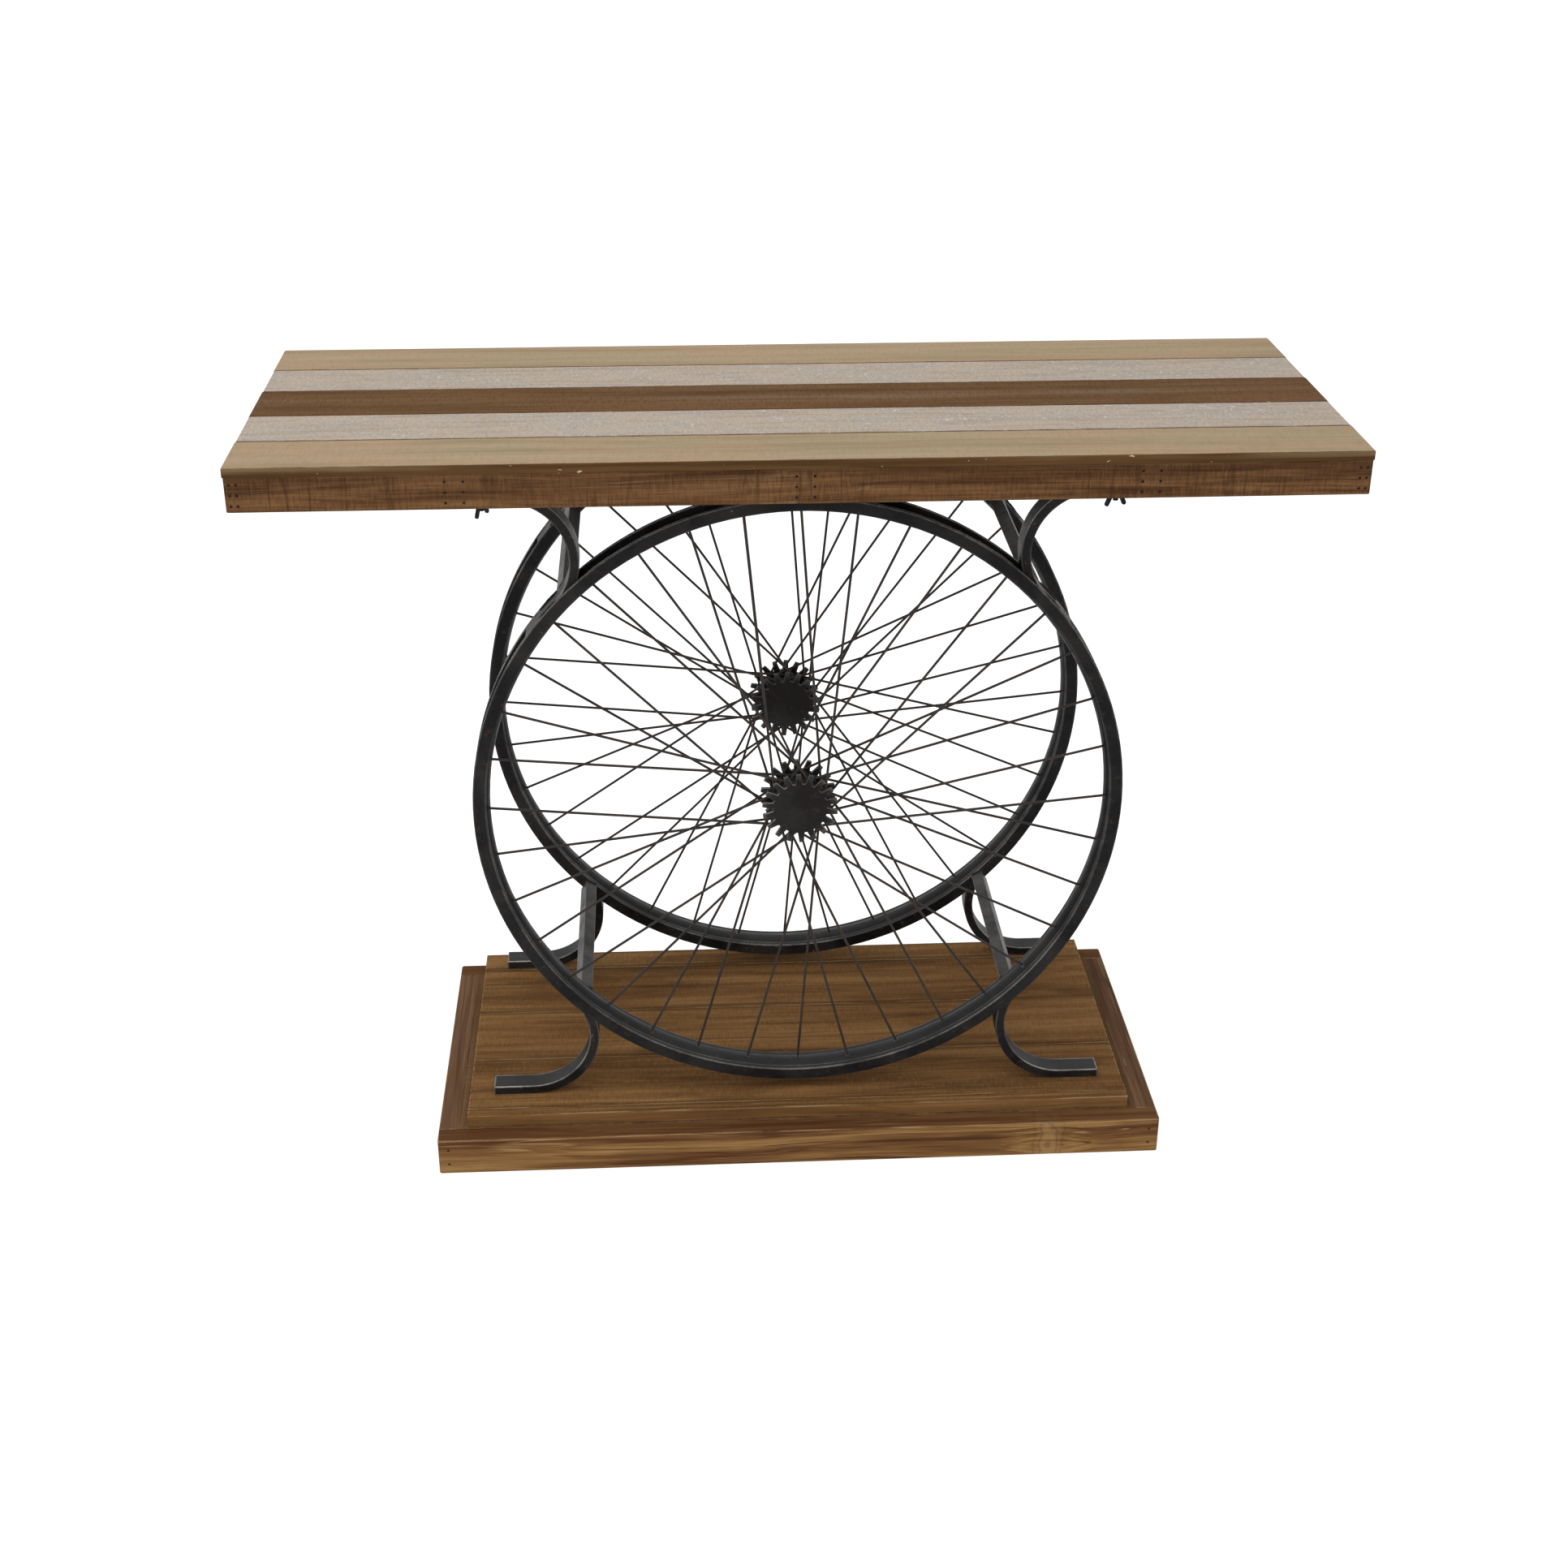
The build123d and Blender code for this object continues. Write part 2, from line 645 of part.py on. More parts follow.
def make_deck():
    """Boards of the upper step, laid along the table."""
    lengths = (-deck_length / 2, deck_length / 2)
    front_y = deck_front
    for number, width in enumerate(deck_board_widths, start=1):
        board = make_block(lengths, (front_y, front_y + width), (base_height, deck_top))
        with board:
            foot_screw_holes(deck_top)
        finish(board, f"deck_board_{number}")
        front_y += width


def make_foot_screws():
    """Screws up through the sub-panel and the deck into the feet."""
    with BuildPart() as screws:
        for plane in foot_screw_planes(panel_bottom):
            with BuildSketch(plane):
                Circle(foot_screw_head_diameter / 2)
            extrude(amount=foot_screw_head_height)
            with BuildSketch(plane):
                Circle(foot_screw_diameter / 2)
            extrude(amount=-(deck_top - panel_bottom + foot_screw_depth - foot_screw_end_gap))
    finish(screws, "foot_screws")


# ------------------------------------------------------------------ the whole table

make_planks()
make_long_rails()
make_cross_pieces()
make_nails("apron_nails", rail_nail_planes(-1) + rail_nail_planes(1))
for wheel_name, wheel_side in wheel_sides.items():
    make_rim(wheel_name, wheel_side)
    make_hub(wheel_name, wheel_side)
    make_spokes(wheel_name, wheel_side)
make_feet()
make_brackets()
make_cross_bars()
make_bolts()
make_washers()
make_wing_nuts()
make_base_boards()
make_nails("base_nails", base_nail_planes(-1) + base_nail_planes(1))
make_sub_panel()
make_deck()
make_foot_screws()
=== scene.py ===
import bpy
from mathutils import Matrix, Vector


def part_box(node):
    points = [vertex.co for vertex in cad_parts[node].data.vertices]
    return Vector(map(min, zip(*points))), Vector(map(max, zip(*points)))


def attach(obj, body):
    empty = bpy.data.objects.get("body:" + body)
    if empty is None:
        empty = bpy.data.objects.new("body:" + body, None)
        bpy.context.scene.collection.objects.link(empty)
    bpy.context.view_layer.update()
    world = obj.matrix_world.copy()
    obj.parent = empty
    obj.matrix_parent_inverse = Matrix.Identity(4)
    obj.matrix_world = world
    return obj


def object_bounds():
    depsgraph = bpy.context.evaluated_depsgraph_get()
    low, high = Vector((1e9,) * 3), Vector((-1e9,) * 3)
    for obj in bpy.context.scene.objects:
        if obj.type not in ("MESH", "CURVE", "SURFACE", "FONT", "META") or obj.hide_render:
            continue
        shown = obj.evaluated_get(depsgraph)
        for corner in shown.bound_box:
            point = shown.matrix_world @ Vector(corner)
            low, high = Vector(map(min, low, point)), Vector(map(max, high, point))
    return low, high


bl_info = {
    "name": "Wheel Console Table",
    "version": (1, 0, 0),
    "blender": (4, 5, 0),
    "location": "3D View > Sidebar > Table",
    "description": "Finishes a plank-topped console table that stands on two wire-spoked wheels",
    "category": "Object",
}

import math
import random

import bmesh
import bpy
from bpy.props import FloatProperty, FloatVectorProperty, PointerProperty
from mathutils import Vector, noise

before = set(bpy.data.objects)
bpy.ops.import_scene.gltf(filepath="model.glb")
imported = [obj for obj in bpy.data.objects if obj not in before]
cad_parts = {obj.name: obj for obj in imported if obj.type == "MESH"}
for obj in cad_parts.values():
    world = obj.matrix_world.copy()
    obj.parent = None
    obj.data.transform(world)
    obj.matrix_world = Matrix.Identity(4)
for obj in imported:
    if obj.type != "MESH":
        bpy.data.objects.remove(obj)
CAD_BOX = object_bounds()
TABLE_BODY = "table"
WHITE = (1.0, 1.0, 1.0)


def paint(red, green, blue):
    """Scene colour of a tone given in the 0 to 255 steps of a colour chart."""
    steps = [step / 255 for step in (red, green, blue)]
    return tuple(step / 12.92 if step <= 0.04045 else ((step + 0.055) / 1.055) ** 2.4 for step in steps)


def blended(share, first, second):
    """A fixed tone part of the way from the first to the second."""
    return tuple(a + (b - a) * share for a, b in zip(first, second))


def colour_setting(name, description, tone):
    """A colour that the user can change."""
    return FloatVectorProperty(
        name=name, description=description, default=paint(*tone), min=0.0, max=1.0, size=3,
        subtype="COLOR",
    )


def length_setting(name, description, metres, smallest=0.0):
    """A length that the user can change."""
    return FloatProperty(
        name=name, description=description, default=metres, min=smallest, unit="LENGTH"
    )


def angle_setting(name, description, degrees):
    """An angle that the user can change."""
    return FloatProperty(
        name=name, description=description, default=math.radians(degrees), subtype="ANGLE"
    )


# ------------------------------------------------------------------ settings


class PlankSettings(bpy.types.PropertyGroup):
    """Colours and wear of the five planks on top."""

    tan: colour_setting("Tan", "Front and rear planks", (161, 144, 117))
    tan_shade: colour_setting("Tan Shade", "Darker streaks in the tan planks", (143, 124, 97))
    tan_warm: colour_setting("Tan Warm", "Redder patches of the tan planks", (171, 143, 116))
    whitewash: colour_setting("Whitewash", "Paint on the two pale planks", (177, 163, 147))
    whitewash_cool: colour_setting("Whitewash Cool", "Greyer patches of the paint", (170, 161, 152))
    whitewash_shade: colour_setting(
        "Whitewash Shade", "Wood that shows through the paint", (146, 130, 114)
    )
    whitewash_thick: colour_setting("Whitewash Thick", "Dabs of thicker paint", (206, 200, 192))
    brown: colour_setting("Brown", "Middle plank", (103, 77, 51))
    brown_shade: colour_setting("Brown Shade", "Darker streaks in the middle plank", (80, 56, 36))
    brown_warm: colour_setting("Brown Warm", "Redder patches of the middle plank", (112, 82, 58))
    edge: colour_setting("Edge", "Stained edges of the planks", (100, 72, 44))
    joint: colour_setting("Joint", "Old stain down in the joints", (82, 50, 38))
    chip: colour_setting("Chip", "Bare wood where an edge has chipped", (200, 186, 152))
    joint_width: length_setting("Joint Width", "Width of the stain on either side of a joint", 0.0013)


class TimberSettings(bpy.types.PropertyGroup):
    """Colours of the frame below the planks and of the base."""

    rail_light: colour_setting("Rail Light", "Pale streaks in the rails", (132, 97, 62))
    rail: colour_setting("Rail", "Front, rear and end rails", (107, 75, 48))
    rail_shade: colour_setting("Rail Shade", "Dark streaks in the rails", (74, 48, 30))
    batten_light: colour_setting("Batten Light", "Pale streaks in the battens", (150, 118, 82))
    batten: colour_setting("Batten", "Cross battens under the planks", (126, 97, 66))
    batten_shade: colour_setting("Batten Shade", "Dark streaks in the battens", (100, 74, 50))
    deck_light: colour_setting("Deck Light", "Pale streaks of the upper step", (168, 128, 80))
    deck: colour_setting("Deck", "Boards of the upper step", (139, 101, 60))
    deck_shade: colour_setting("Deck Shade", "Dark streaks of the upper step", (92, 62, 36))
    base_light: colour_setting("Base Light", "Pale grain of the base", (166, 128, 79))
    base: colour_setting("Base", "Front and rear boards of the base", (131, 94, 57))
    base_shade: colour_setting("Base Shade", "Dark grain of the base", (92, 58, 36))
    base_end_light: colour_setting("Base End Light", "Pale grain of the side boards", (142, 110, 83))
    base_end: colour_setting("Base End", "Side boards of the base", (118, 88, 64))
    base_end_shade: colour_setting("Base End Shade", "Dark grain of the side boards", (90, 63, 46))
    panel_light: colour_setting("Panel Light", "Pale streaks in the panel and cleats", (132, 101, 69))
    panel: colour_setting("Panel", "Panel and cleats inside the base", (110, 80, 53))
    panel_shade: colour_setting("Panel Shade", "Dark streaks in the panel and cleats", (84, 59, 40))


class MetalSettings(bpy.types.PropertyGroup):
    """Dark lacquer of the metalwork, how far it has worn, and its painted sheen and edge highlights."""

    lacquer: colour_setting("Lacquer", "Dark coat on rims and bars", (17, 16, 17))
    lacquer_light: colour_setting("Lacquer Light", "Thin patches of the coat", (42, 40, 39))
    # Grey coat on what faces up: painted sheen of the overhead lamp, and dust.
    dust_and_sheen: colour_setting("Dust", "Dust on what faces up", (66, 66, 66))
    cross_bar: colour_setting("Cross Bar", "Thin grey coat on the cross bars", (102, 100, 98))
    hub: colour_setting("Hub", "Coat on the hubs", (23, 19, 17))
    # Also painted along edges that face up as a highlight.
    bare: colour_setting("Bare Steel", "Steel where an edge has rubbed through", (176, 173, 167))
    rust: colour_setting("Rust", "Specks of rust", (76, 50, 38))
    spoke: colour_setting("Spoke", "Coat on the spokes", (62, 55, 50))
    nail: colour_setting("Nail", "Heads of the nails", (16, 10, 8))
    # Width of the band of worn steel and painted highlight along edges, and of their rounding.
    rub_and_highlight_width: length_setting("Wear Width", "How far the rubbed steel reaches from an edge", 0.0016)
    tooth_root: length_setting(
        "Tooth Root", "Distance from the axle at which the wear on the hub teeth begins", 0.034
    )
    tooth_tip: length_setting(
        "Tooth Tip", "Distance from the axle at which the hub teeth are most worn", 0.043
    )
    thread_pitch: length_setting("Thread Pitch", "Rise of the bolt thread in one turn", 0.001, 0.0001)


class WeldSettings(bpy.types.PropertyGroup):
    """Weld beads that hold the bars to the rims."""

    channel_bead_width: length_setting(
        "Channel Bead Width", "Thickness of a bead beside a bar in the rim channel", 0.0034, 0.0005
    )
    channel_bead_length: length_setting(
        "Channel Bead Length", "Length of a bead beside a bar in the rim channel", 0.030, 0.002
    )
    channel_bead_aside: length_setting(
        "Channel Bead Aside", "From the middle of the rim to a bead in its channel", 0.01325
    )
    foot_angle: angle_setting("Foot Angle", "Angle below the axle at which a foot leaves the rim", 43.2)
    bracket_angle: angle_setting(
        "Bracket Angle", "Angle above the axle at which a bracket leaves the rim", 43.4
    )
    bar_bead_width: length_setting(
        "Bar Bead Width", "Thickness of a bead round a cross bar", 0.0042, 0.0005
    )
    bar_size: length_setting("Bar Size", "Side of the square cross bars", 0.015, 0.002)
    bar_roll: angle_setting("Bar Roll", "How far a cross bar is rolled about its length", 30.0)
    rim_depth: length_setting("Rim Depth", "Depth of the rim's side walls", 0.0149, 0.002)
    ripple: length_setting("Ripple", "Distance between the ripples of a bead", 0.0016, 0.0003)


class StudioSettings(bpy.types.PropertyGroup):
    """Camera, lamps and floor."""

    camera_place: FloatVectorProperty(
        name="Camera Place", description="Where the camera stands", subtype="TRANSLATION",
        default=(-0.1478, -2.38864, 1.59952), unit="LENGTH",
    )
    camera_turn: FloatVectorProperty(
        name="Camera Turn", description="How the camera is turned", subtype="EULER",
        default=(math.radians(63.3346), math.radians(-0.1470), math.radians(-3.2523)),
    )
    camera_lens: FloatProperty(
        name="Lens", description="Focal length in millimetres on a 36 mm sensor", default=50.126,
        min=1.0,
    )
    floor_size: length_setting("Floor Size", "Side of the square floor", 24.0, 1.0)
    overhead_power: FloatProperty(
        name="Overhead Power", description="Power of the large lamp overhead", default=38.0, min=0.0,
        unit="POWER",
    )
    front_power: FloatProperty(
        name="Front Power", description="Power of the large lamp in front", default=35.0, min=0.0,
        unit="POWER",
    )
    room_light: FloatProperty(
        name="Room Light", description="Strength of the even light from all round", default=0.6, min=0.0
    )


class TableSettings(bpy.types.PropertyGroup):
    """All settings of the table."""

    planks: PointerProperty(type=PlankSettings)
    timber: PointerProperty(type=TimberSettings)
    metal: PointerProperty(type=MetalSettings)
    welds: PointerProperty(type=WeldSettings)
    studio: PointerProperty(type=StudioSettings)


# ------------------------------------------------------------------ node tools

EDGE_STARTS = 0.985  # cosine between the rounded and the flat direction where an edge begins to show
EDGE_FULL = 0.90  # the same where it shows fully
ROUNDING_SAMPLES = 6


class Nodes:
    """A node tree being built."""

    def __init__(self, tree):
        self.tree = tree

    def node(self, kind, **settings):
        made = self.tree.nodes.new(kind)
        for key, value in settings.items():
            setattr(made, key, value)
        return made

    def feed(self, socket, value):
        """Link value to the socket if it is an output, and otherwise set it there."""
        if isinstance(value, bpy.types.NodeSocket):
            self.tree.links.new(value, socket)
        elif socket.type == "RGBA":
            socket.default_value = (*value[:3], 1.0)
        else:
            socket.default_value = value

    def maths(self, operation, first, second=0.0):
        node = self.node("ShaderNodeMath", operation=operation)
        self.feed(node.inputs[0], first)
        self.feed(node.inputs[1], second)
        return node.outputs[0]

    def sum(self, total, *others):
        for other in others:
            total = self.maths("ADD", total, other)
        return total

    def times(self, product, *others):
        for other in others:
            product = self.maths("MULTIPLY", product, other)
        return product

    def absolute(self, value):
        return self.maths("ABSOLUTE", value)

    def span(self, value, low, high, out_low=0.0, out_high=1.0):
        """Stretch the range low to high of a value to the range out_low to out_high."""
        node = self.node("ShaderNodeMapRange", clamp=True)
        self.feed(node.inputs["Value"], value)
        node.inputs["From Min"].default_value = low
        node.inputs["From Max"].default_value = high
        node.inputs["To Min"].default_value = out_low
        node.inputs["To Max"].default_value = out_high
        return node.outputs["Result"]

    def seen_directly(self):
        """1 for what is seen directly, in a mirror or through glass, and 0 for light on things."""
        rays = self.node("ShaderNodeLightPath").outputs
        either = self.maths("MAXIMUM", rays["Is Camera Ray"], rays["Is Glossy Ray"])
        return self.maths("MAXIMUM", either, rays["Is Transmission Ray"])


class Finish(Nodes):
    """A material being built, with short calls for the nodes that the finishes share."""

    def __init__(self, name, shader="ShaderNodeBsdfPrincipled"):
        self.material = bpy.data.materials.new(name)
        self.material.use_nodes = True
        super().__init__(self.material.node_tree)
        self.tree.nodes.clear()
        self.surface = self.node(shader)
        output = self.node("ShaderNodeOutputMaterial")
        self.feed(output.inputs["Surface"], self.surface.outputs[0])
        self.colour = None
        self.height = None

    def place(self):
        """Place on the piece, in metres."""
        return self.node("ShaderNodeTexCoord").outputs["Object"]

    def direction(self, axis):
        """How far the surface faces along an axis, from -1 to 1."""
        return self.part(self.node("ShaderNodeTexCoord").outputs["Normal"], axis)

    def moved(self, vector, offset=(0, 0, 0), turn=(0, 0, 0), scale=(1, 1, 1)):
        mapping = self.node("ShaderNodeMapping")
        self.feed(mapping.inputs["Vector"], vector)
        mapping.inputs["Location"].default_value = offset
        mapping.inputs["Rotation"].default_value = turn
        mapping.inputs["Scale"].default_value = scale
        return mapping.outputs[0]

    def cloud(self, vector, scale, detail=3.0, rough=0.55, twist=0.0):
        """Noise from 0 to 1, with its own number of cells per metre along each axis."""
        texture = self.node("ShaderNodeTexNoise")
        self.feed(texture.inputs["Vector"], self.moved(vector, scale=scale))
        texture.inputs["Scale"].default_value = 1.0
        texture.inputs["Detail"].default_value = detail
        texture.inputs["Roughness"].default_value = rough
        texture.inputs["Distortion"].default_value = twist
        return texture.outputs["Fac"]

    def part(self, vector, axis):
        node = self.node("ShaderNodeSeparateXYZ")
        self.feed(node.inputs[0], vector)
        return node.outputs[axis]

    def distance(self, vector, centre, scale=(1, 1, 1)):
        """Distance from a point, or from a line where the scale along it is 0."""
        shift = tuple(-c * s for c, s in zip(centre, scale))
        node = self.node("ShaderNodeVectorMath", operation="LENGTH")
        self.feed(node.inputs[0], self.moved(vector, offset=shift, scale=scale))
        return node.outputs["Value"]

    def mix(self, share, first, second):
        """Colour that turns from the first to the second as share goes from 0 to 1."""
        node = self.node("ShaderNodeMix", data_type="RGBA", clamp_factor=True)
        self.feed(node.inputs[0], share)
        self.feed(node.inputs[6], first)
        self.feed(node.inputs[7], second)
        return node.outputs[2]

    def coat(self, share, tone):
        """Cover the colour so far with a tone, as far as share says."""
        self.colour = self.mix(share, self.colour, tone)

    def lift(self, value):
        """Raise the height so far by a value."""
        self.height = self.sum(self.height, value)

    def ramp(self, value, tones):
        """Colour that runs through the given tones, each at its own value."""
        node = self.node("ShaderNodeValToRGB")
        self.feed(node.inputs[0], value)
        elements = node.color_ramp.elements
        while len(elements) < len(tones):
            elements.new(0.5)
        for element, (position, tone) in zip(elements, tones):
            element.position = position
            element.color = (*tone[:3], 1.0)
        return node.outputs[0]

    def softened(self, width):
        """The surface's direction with its edges rounded over the given width."""
        rounded = self.node("ShaderNodeBevel", samples=ROUNDING_SAMPLES)
        rounded.inputs["Radius"].default_value = width
        return rounded.outputs[0]

    def edges(self, rounded):
        """1 on the edges of the piece and 0 away from them."""
        flat = self.node("ShaderNodeNewGeometry").outputs["Normal"]
        dot = self.node("ShaderNodeVectorMath", operation="DOT_PRODUCT")
        self.feed(dot.inputs[0], rounded)
        self.feed(dot.inputs[1], flat)
        return self.span(dot.outputs["Value"], EDGE_STARTS, EDGE_FULL)

    def close(self, roughness, specular, relief, rounded):
        """Put the colour and the height on the surface, relief being the height's scale in metres."""
        bump = self.node("ShaderNodeBump")
        self.feed(bump.inputs["Height"], self.height)
        bump.inputs["Distance"].default_value = relief
        self.feed(bump.inputs["Normal"], rounded)
        self.feed(self.surface.inputs["Normal"], bump.outputs[0])
        self.feed(self.surface.inputs["Base Color"], self.colour)
        self.feed(self.surface.inputs["Roughness"], roughness)
        self.surface.inputs["Specular IOR Level"].default_value = specular
        return self.material


def wear_finish(node, material):
    """Give a node of the frame its finish."""
    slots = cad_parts[node].data.materials
    slots.clear()
    slots.append(material)


def nodes_named(*starts):
    """Names of the nodes that begin with one of the given words."""
    return [name for name in sorted(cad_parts) if name.startswith(starts)]


def wear_everywhere(material, *starts):
    """Give the nodes that begin with one of the given words the same finish."""
    for node in nodes_named(*starts):
        wear_finish(node, material)


# ------------------------------------------------------------------ wood
# A board's noise has its cells per metre along the grain first, then across it and through the board.

QUARTER_TURN = (0.0, 0.0, math.pi / 2)
# Near-black brown of old stain. In sawn boards it also darkens the painted shade.
DARK_STAIN_AND_SHADE = paint(34, 20, 12)
BARE_WOOD = paint(212, 184, 138)
LOG_SPREAD = 40.0  # metres within which each board gets its own place in the noise
SAW_LEAN = 0.04  # radians
BRUSH_LEAN = 0.05
KNOT_RINGS = 750.0  # radians of ring pattern per metre from the heart
BOARD_RELIEF = 0.0004
PLANK_RELIEF = 0.00022
BOARD_ROUNDING = 0.002
WORN_ROUNDING = 0.003
PLANK_ROUNDING = 0.0014
BOARD_SHEEN = 0.05
PLANK_SHEEN = 0.02


class Board(Finish):
    """The finish of one board. The grain runs along x of the board's own place."""

    def __init__(self, name, node, seed, along_y=False, sway=0.02, knot=None):
        super().__init__(name)
        shift = random.Random(seed)
        low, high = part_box(node)
        turn = QUARTER_TURN if along_y else (0.0, 0.0, 0.0)
        centred = self.moved(self.place(), offset=tuple(-(low + high) / 2))
        self.own = self.moved(centred, turn=turn)
        self.half_width = (high.x - low.x if along_y else high.y - low.y) / 2
        self.half_height = (high.z - low.z) / 2
        self.ends = self.absolute(self.direction("Y" if along_y else "X"))
        self.upward = self.direction("Z")
        offset = tuple(shift.uniform(-LOG_SPREAD, LOG_SPREAD) for _ in range(3))
        self.log = self.moved(self.own, offset=offset)
        grain = self.own
        if knot:
            near = self.distance(self.own, knot, (0.5, 1, 1))
            squeeze = self.span(near, 0.004, 0.034, 0.25, 1.0)
            from_knot = self.moved(self.own, offset=tuple(-place for place in knot))
            grain = self.crosswise("MULTIPLY", from_knot, 1.0, squeeze)
        wave = self.blotches((2.2, 9, 9), 2.0, 0.5)
        across = self.times(self.sum(wave, -0.5), sway)
        self.grain = self.moved(self.crosswise("ADD", grain, 0.0, across), offset=offset)

    def crosswise(self, operation, place, along, across):
        """Add to or multiply a place by one value along the grain and another across it."""
        values = self.node("ShaderNodeCombineXYZ")
        for axis, value in zip("XYZ", (along, across, across)):
            self.feed(values.inputs[axis], value)
        node = self.node("ShaderNodeVectorMath", operation=operation)
        self.feed(node.inputs[0], place)
        self.feed(node.inputs[1], values.outputs[0])
        return node.outputs["Vector"]

    def blotches(self, scale, detail=3.0, rough=0.55, twist=0.0):
        """Noise at the board's place in its log."""
        return self.cloud(self.log, scale, detail, rough, twist)

    def streaks(self, length, thickness, detail=4.0, twist=0.4):
        """Streaks along the grain, given how long and how thick they usually are."""
        return self.cloud(self.grain, (1 / length, 1 / thickness, 1 / thickness), detail, 0.6, twist)

    def thin_lines(self, vector, scale, width):
        """Lines that wander where a noise crosses its middle, width being their share of the noise."""
        crossing = self.sum(self.cloud(vector, scale, 1.0, 0.5), -0.5)
        return self.span(self.absolute(crossing), width * 0.35, width, 1.0, 0.0)


def knot_marks(board, knot, light, dark):
    """Pale heart of a knot and the rings round it."""
    heart = board.distance(board.own, knot, (1.0, 0.3, 0.3))
    uneven = board.blotches((30, 30, 30), 2.0)
    heart = board.sum(heart, board.span(uneven, 0.25, 0.75, -0.006, 0.006))
    pale = board.span(heart, 0.006, 0.018, 0.5, 0.0)
    board.coat(pale, blended(0.15, light, BARE_WOOD))
    rings = board.span(board.maths("SINE", board.times(heart, KNOT_RINGS)), 0.2, 1.0)
    rings = board.times(rings, board.span(heart, 0.026, 0.012))
    board.coat(board.times(rings, 0.4), dark)


def grain_lines(board, strength, light, deep):
    """Thin dark and pale lines along the grain."""
    rare = board.blotches((5, 30, 30), 2.0, 0.5)
    dark_lines = board.thin_lines(board.grain, (1.1, 70, 70), 0.03)
    shown = board.times(dark_lines, board.span(rare, 0.42, 0.58), strength)
    board.coat(shown, deep)
    pale_lines = board.thin_lines(board.grain, (1.6, 110, 110), 0.016)
    shown = board.times(pale_lines, board.span(rare, 0.5, 0.38), strength * 0.7)
    board.coat(shown, blended(0.4, light, BARE_WOOD))
    board.lift(board.times(dark_lines, -0.3))


def saw_marks(board, saw, patches, deep):
    """Lines of the saw across the grain, as their number per metre and strength."""
    per_metre, strength = saw
    leaning = board.moved(board.log, turn=(0.0, 0.0, SAW_LEAN))
    marks = board.thin_lines(leaning, (per_metre, 3, 3), 0.02)
    marks = board.times(marks, board.span(patches, 0.36, 0.56))
    board.coat(board.times(marks, strength), deep)
    board.lift(board.times(marks, -0.5))


def tooth_marks(board, per_metre, strength, light, deep):
    """Fine marks of the saw's teeth, with how strong they are at each place."""
    teeth = board.blotches((per_metre, 85, 85), 2.0, 0.6)
    board.coat(board.times(board.span(teeth, 0.52, 0.34), strength), deep)
    board.coat(board.times(board.span(teeth, 0.56, 0.72), strength), light)
    board.lift(board.times(teeth, 0.6))


def overhang_shade(board, strength, deep):
    """Painted shade from the overhanging planks along the top of a board's sides, which comes down
    further in some places.
    """
    drift = board.blotches((3, 8, 8))
    near_top = board.sum(board.part(board.own, "Z"), board.span(drift, 0.3, 0.7, -0.018, 0.018))
    board.coat(board.span(near_top, -0.002, 0.014, 0.0, strength), deep)


def seam_stain(board, width, uneven, level, deep):
    """Dark stain of the given width along the long edges of the upper face."""
    across = board.absolute(board.part(board.own, "Y"))
    reach = board.sum(across, board.span(uneven, 0.35, 0.65, -0.003, 0.003))
    stain = board.span(reach, board.half_width - width, board.half_width - width * 0.4, 0.0, 0.6)
    board.coat(board.times(stain, level), deep)


def frayed_edges(board, strength, rounded, light):
    """Edges worn down to the bare wood. Edges of holes, further in than 5 mm, keep their stain."""
    frayed = board.span(board.blotches((9, 170, 170), 4.0, 0.65), 0.45, 0.54)
    from_middle = board.absolute(board.part(board.own, "Z"))
    outer = board.span(from_middle, board.half_height - 0.005, board.half_height - 0.003)
    bare = board.times(board.edges(rounded), frayed, outer, strength)
    board.coat(bare, blended(0.75, light, BARE_WOOD))


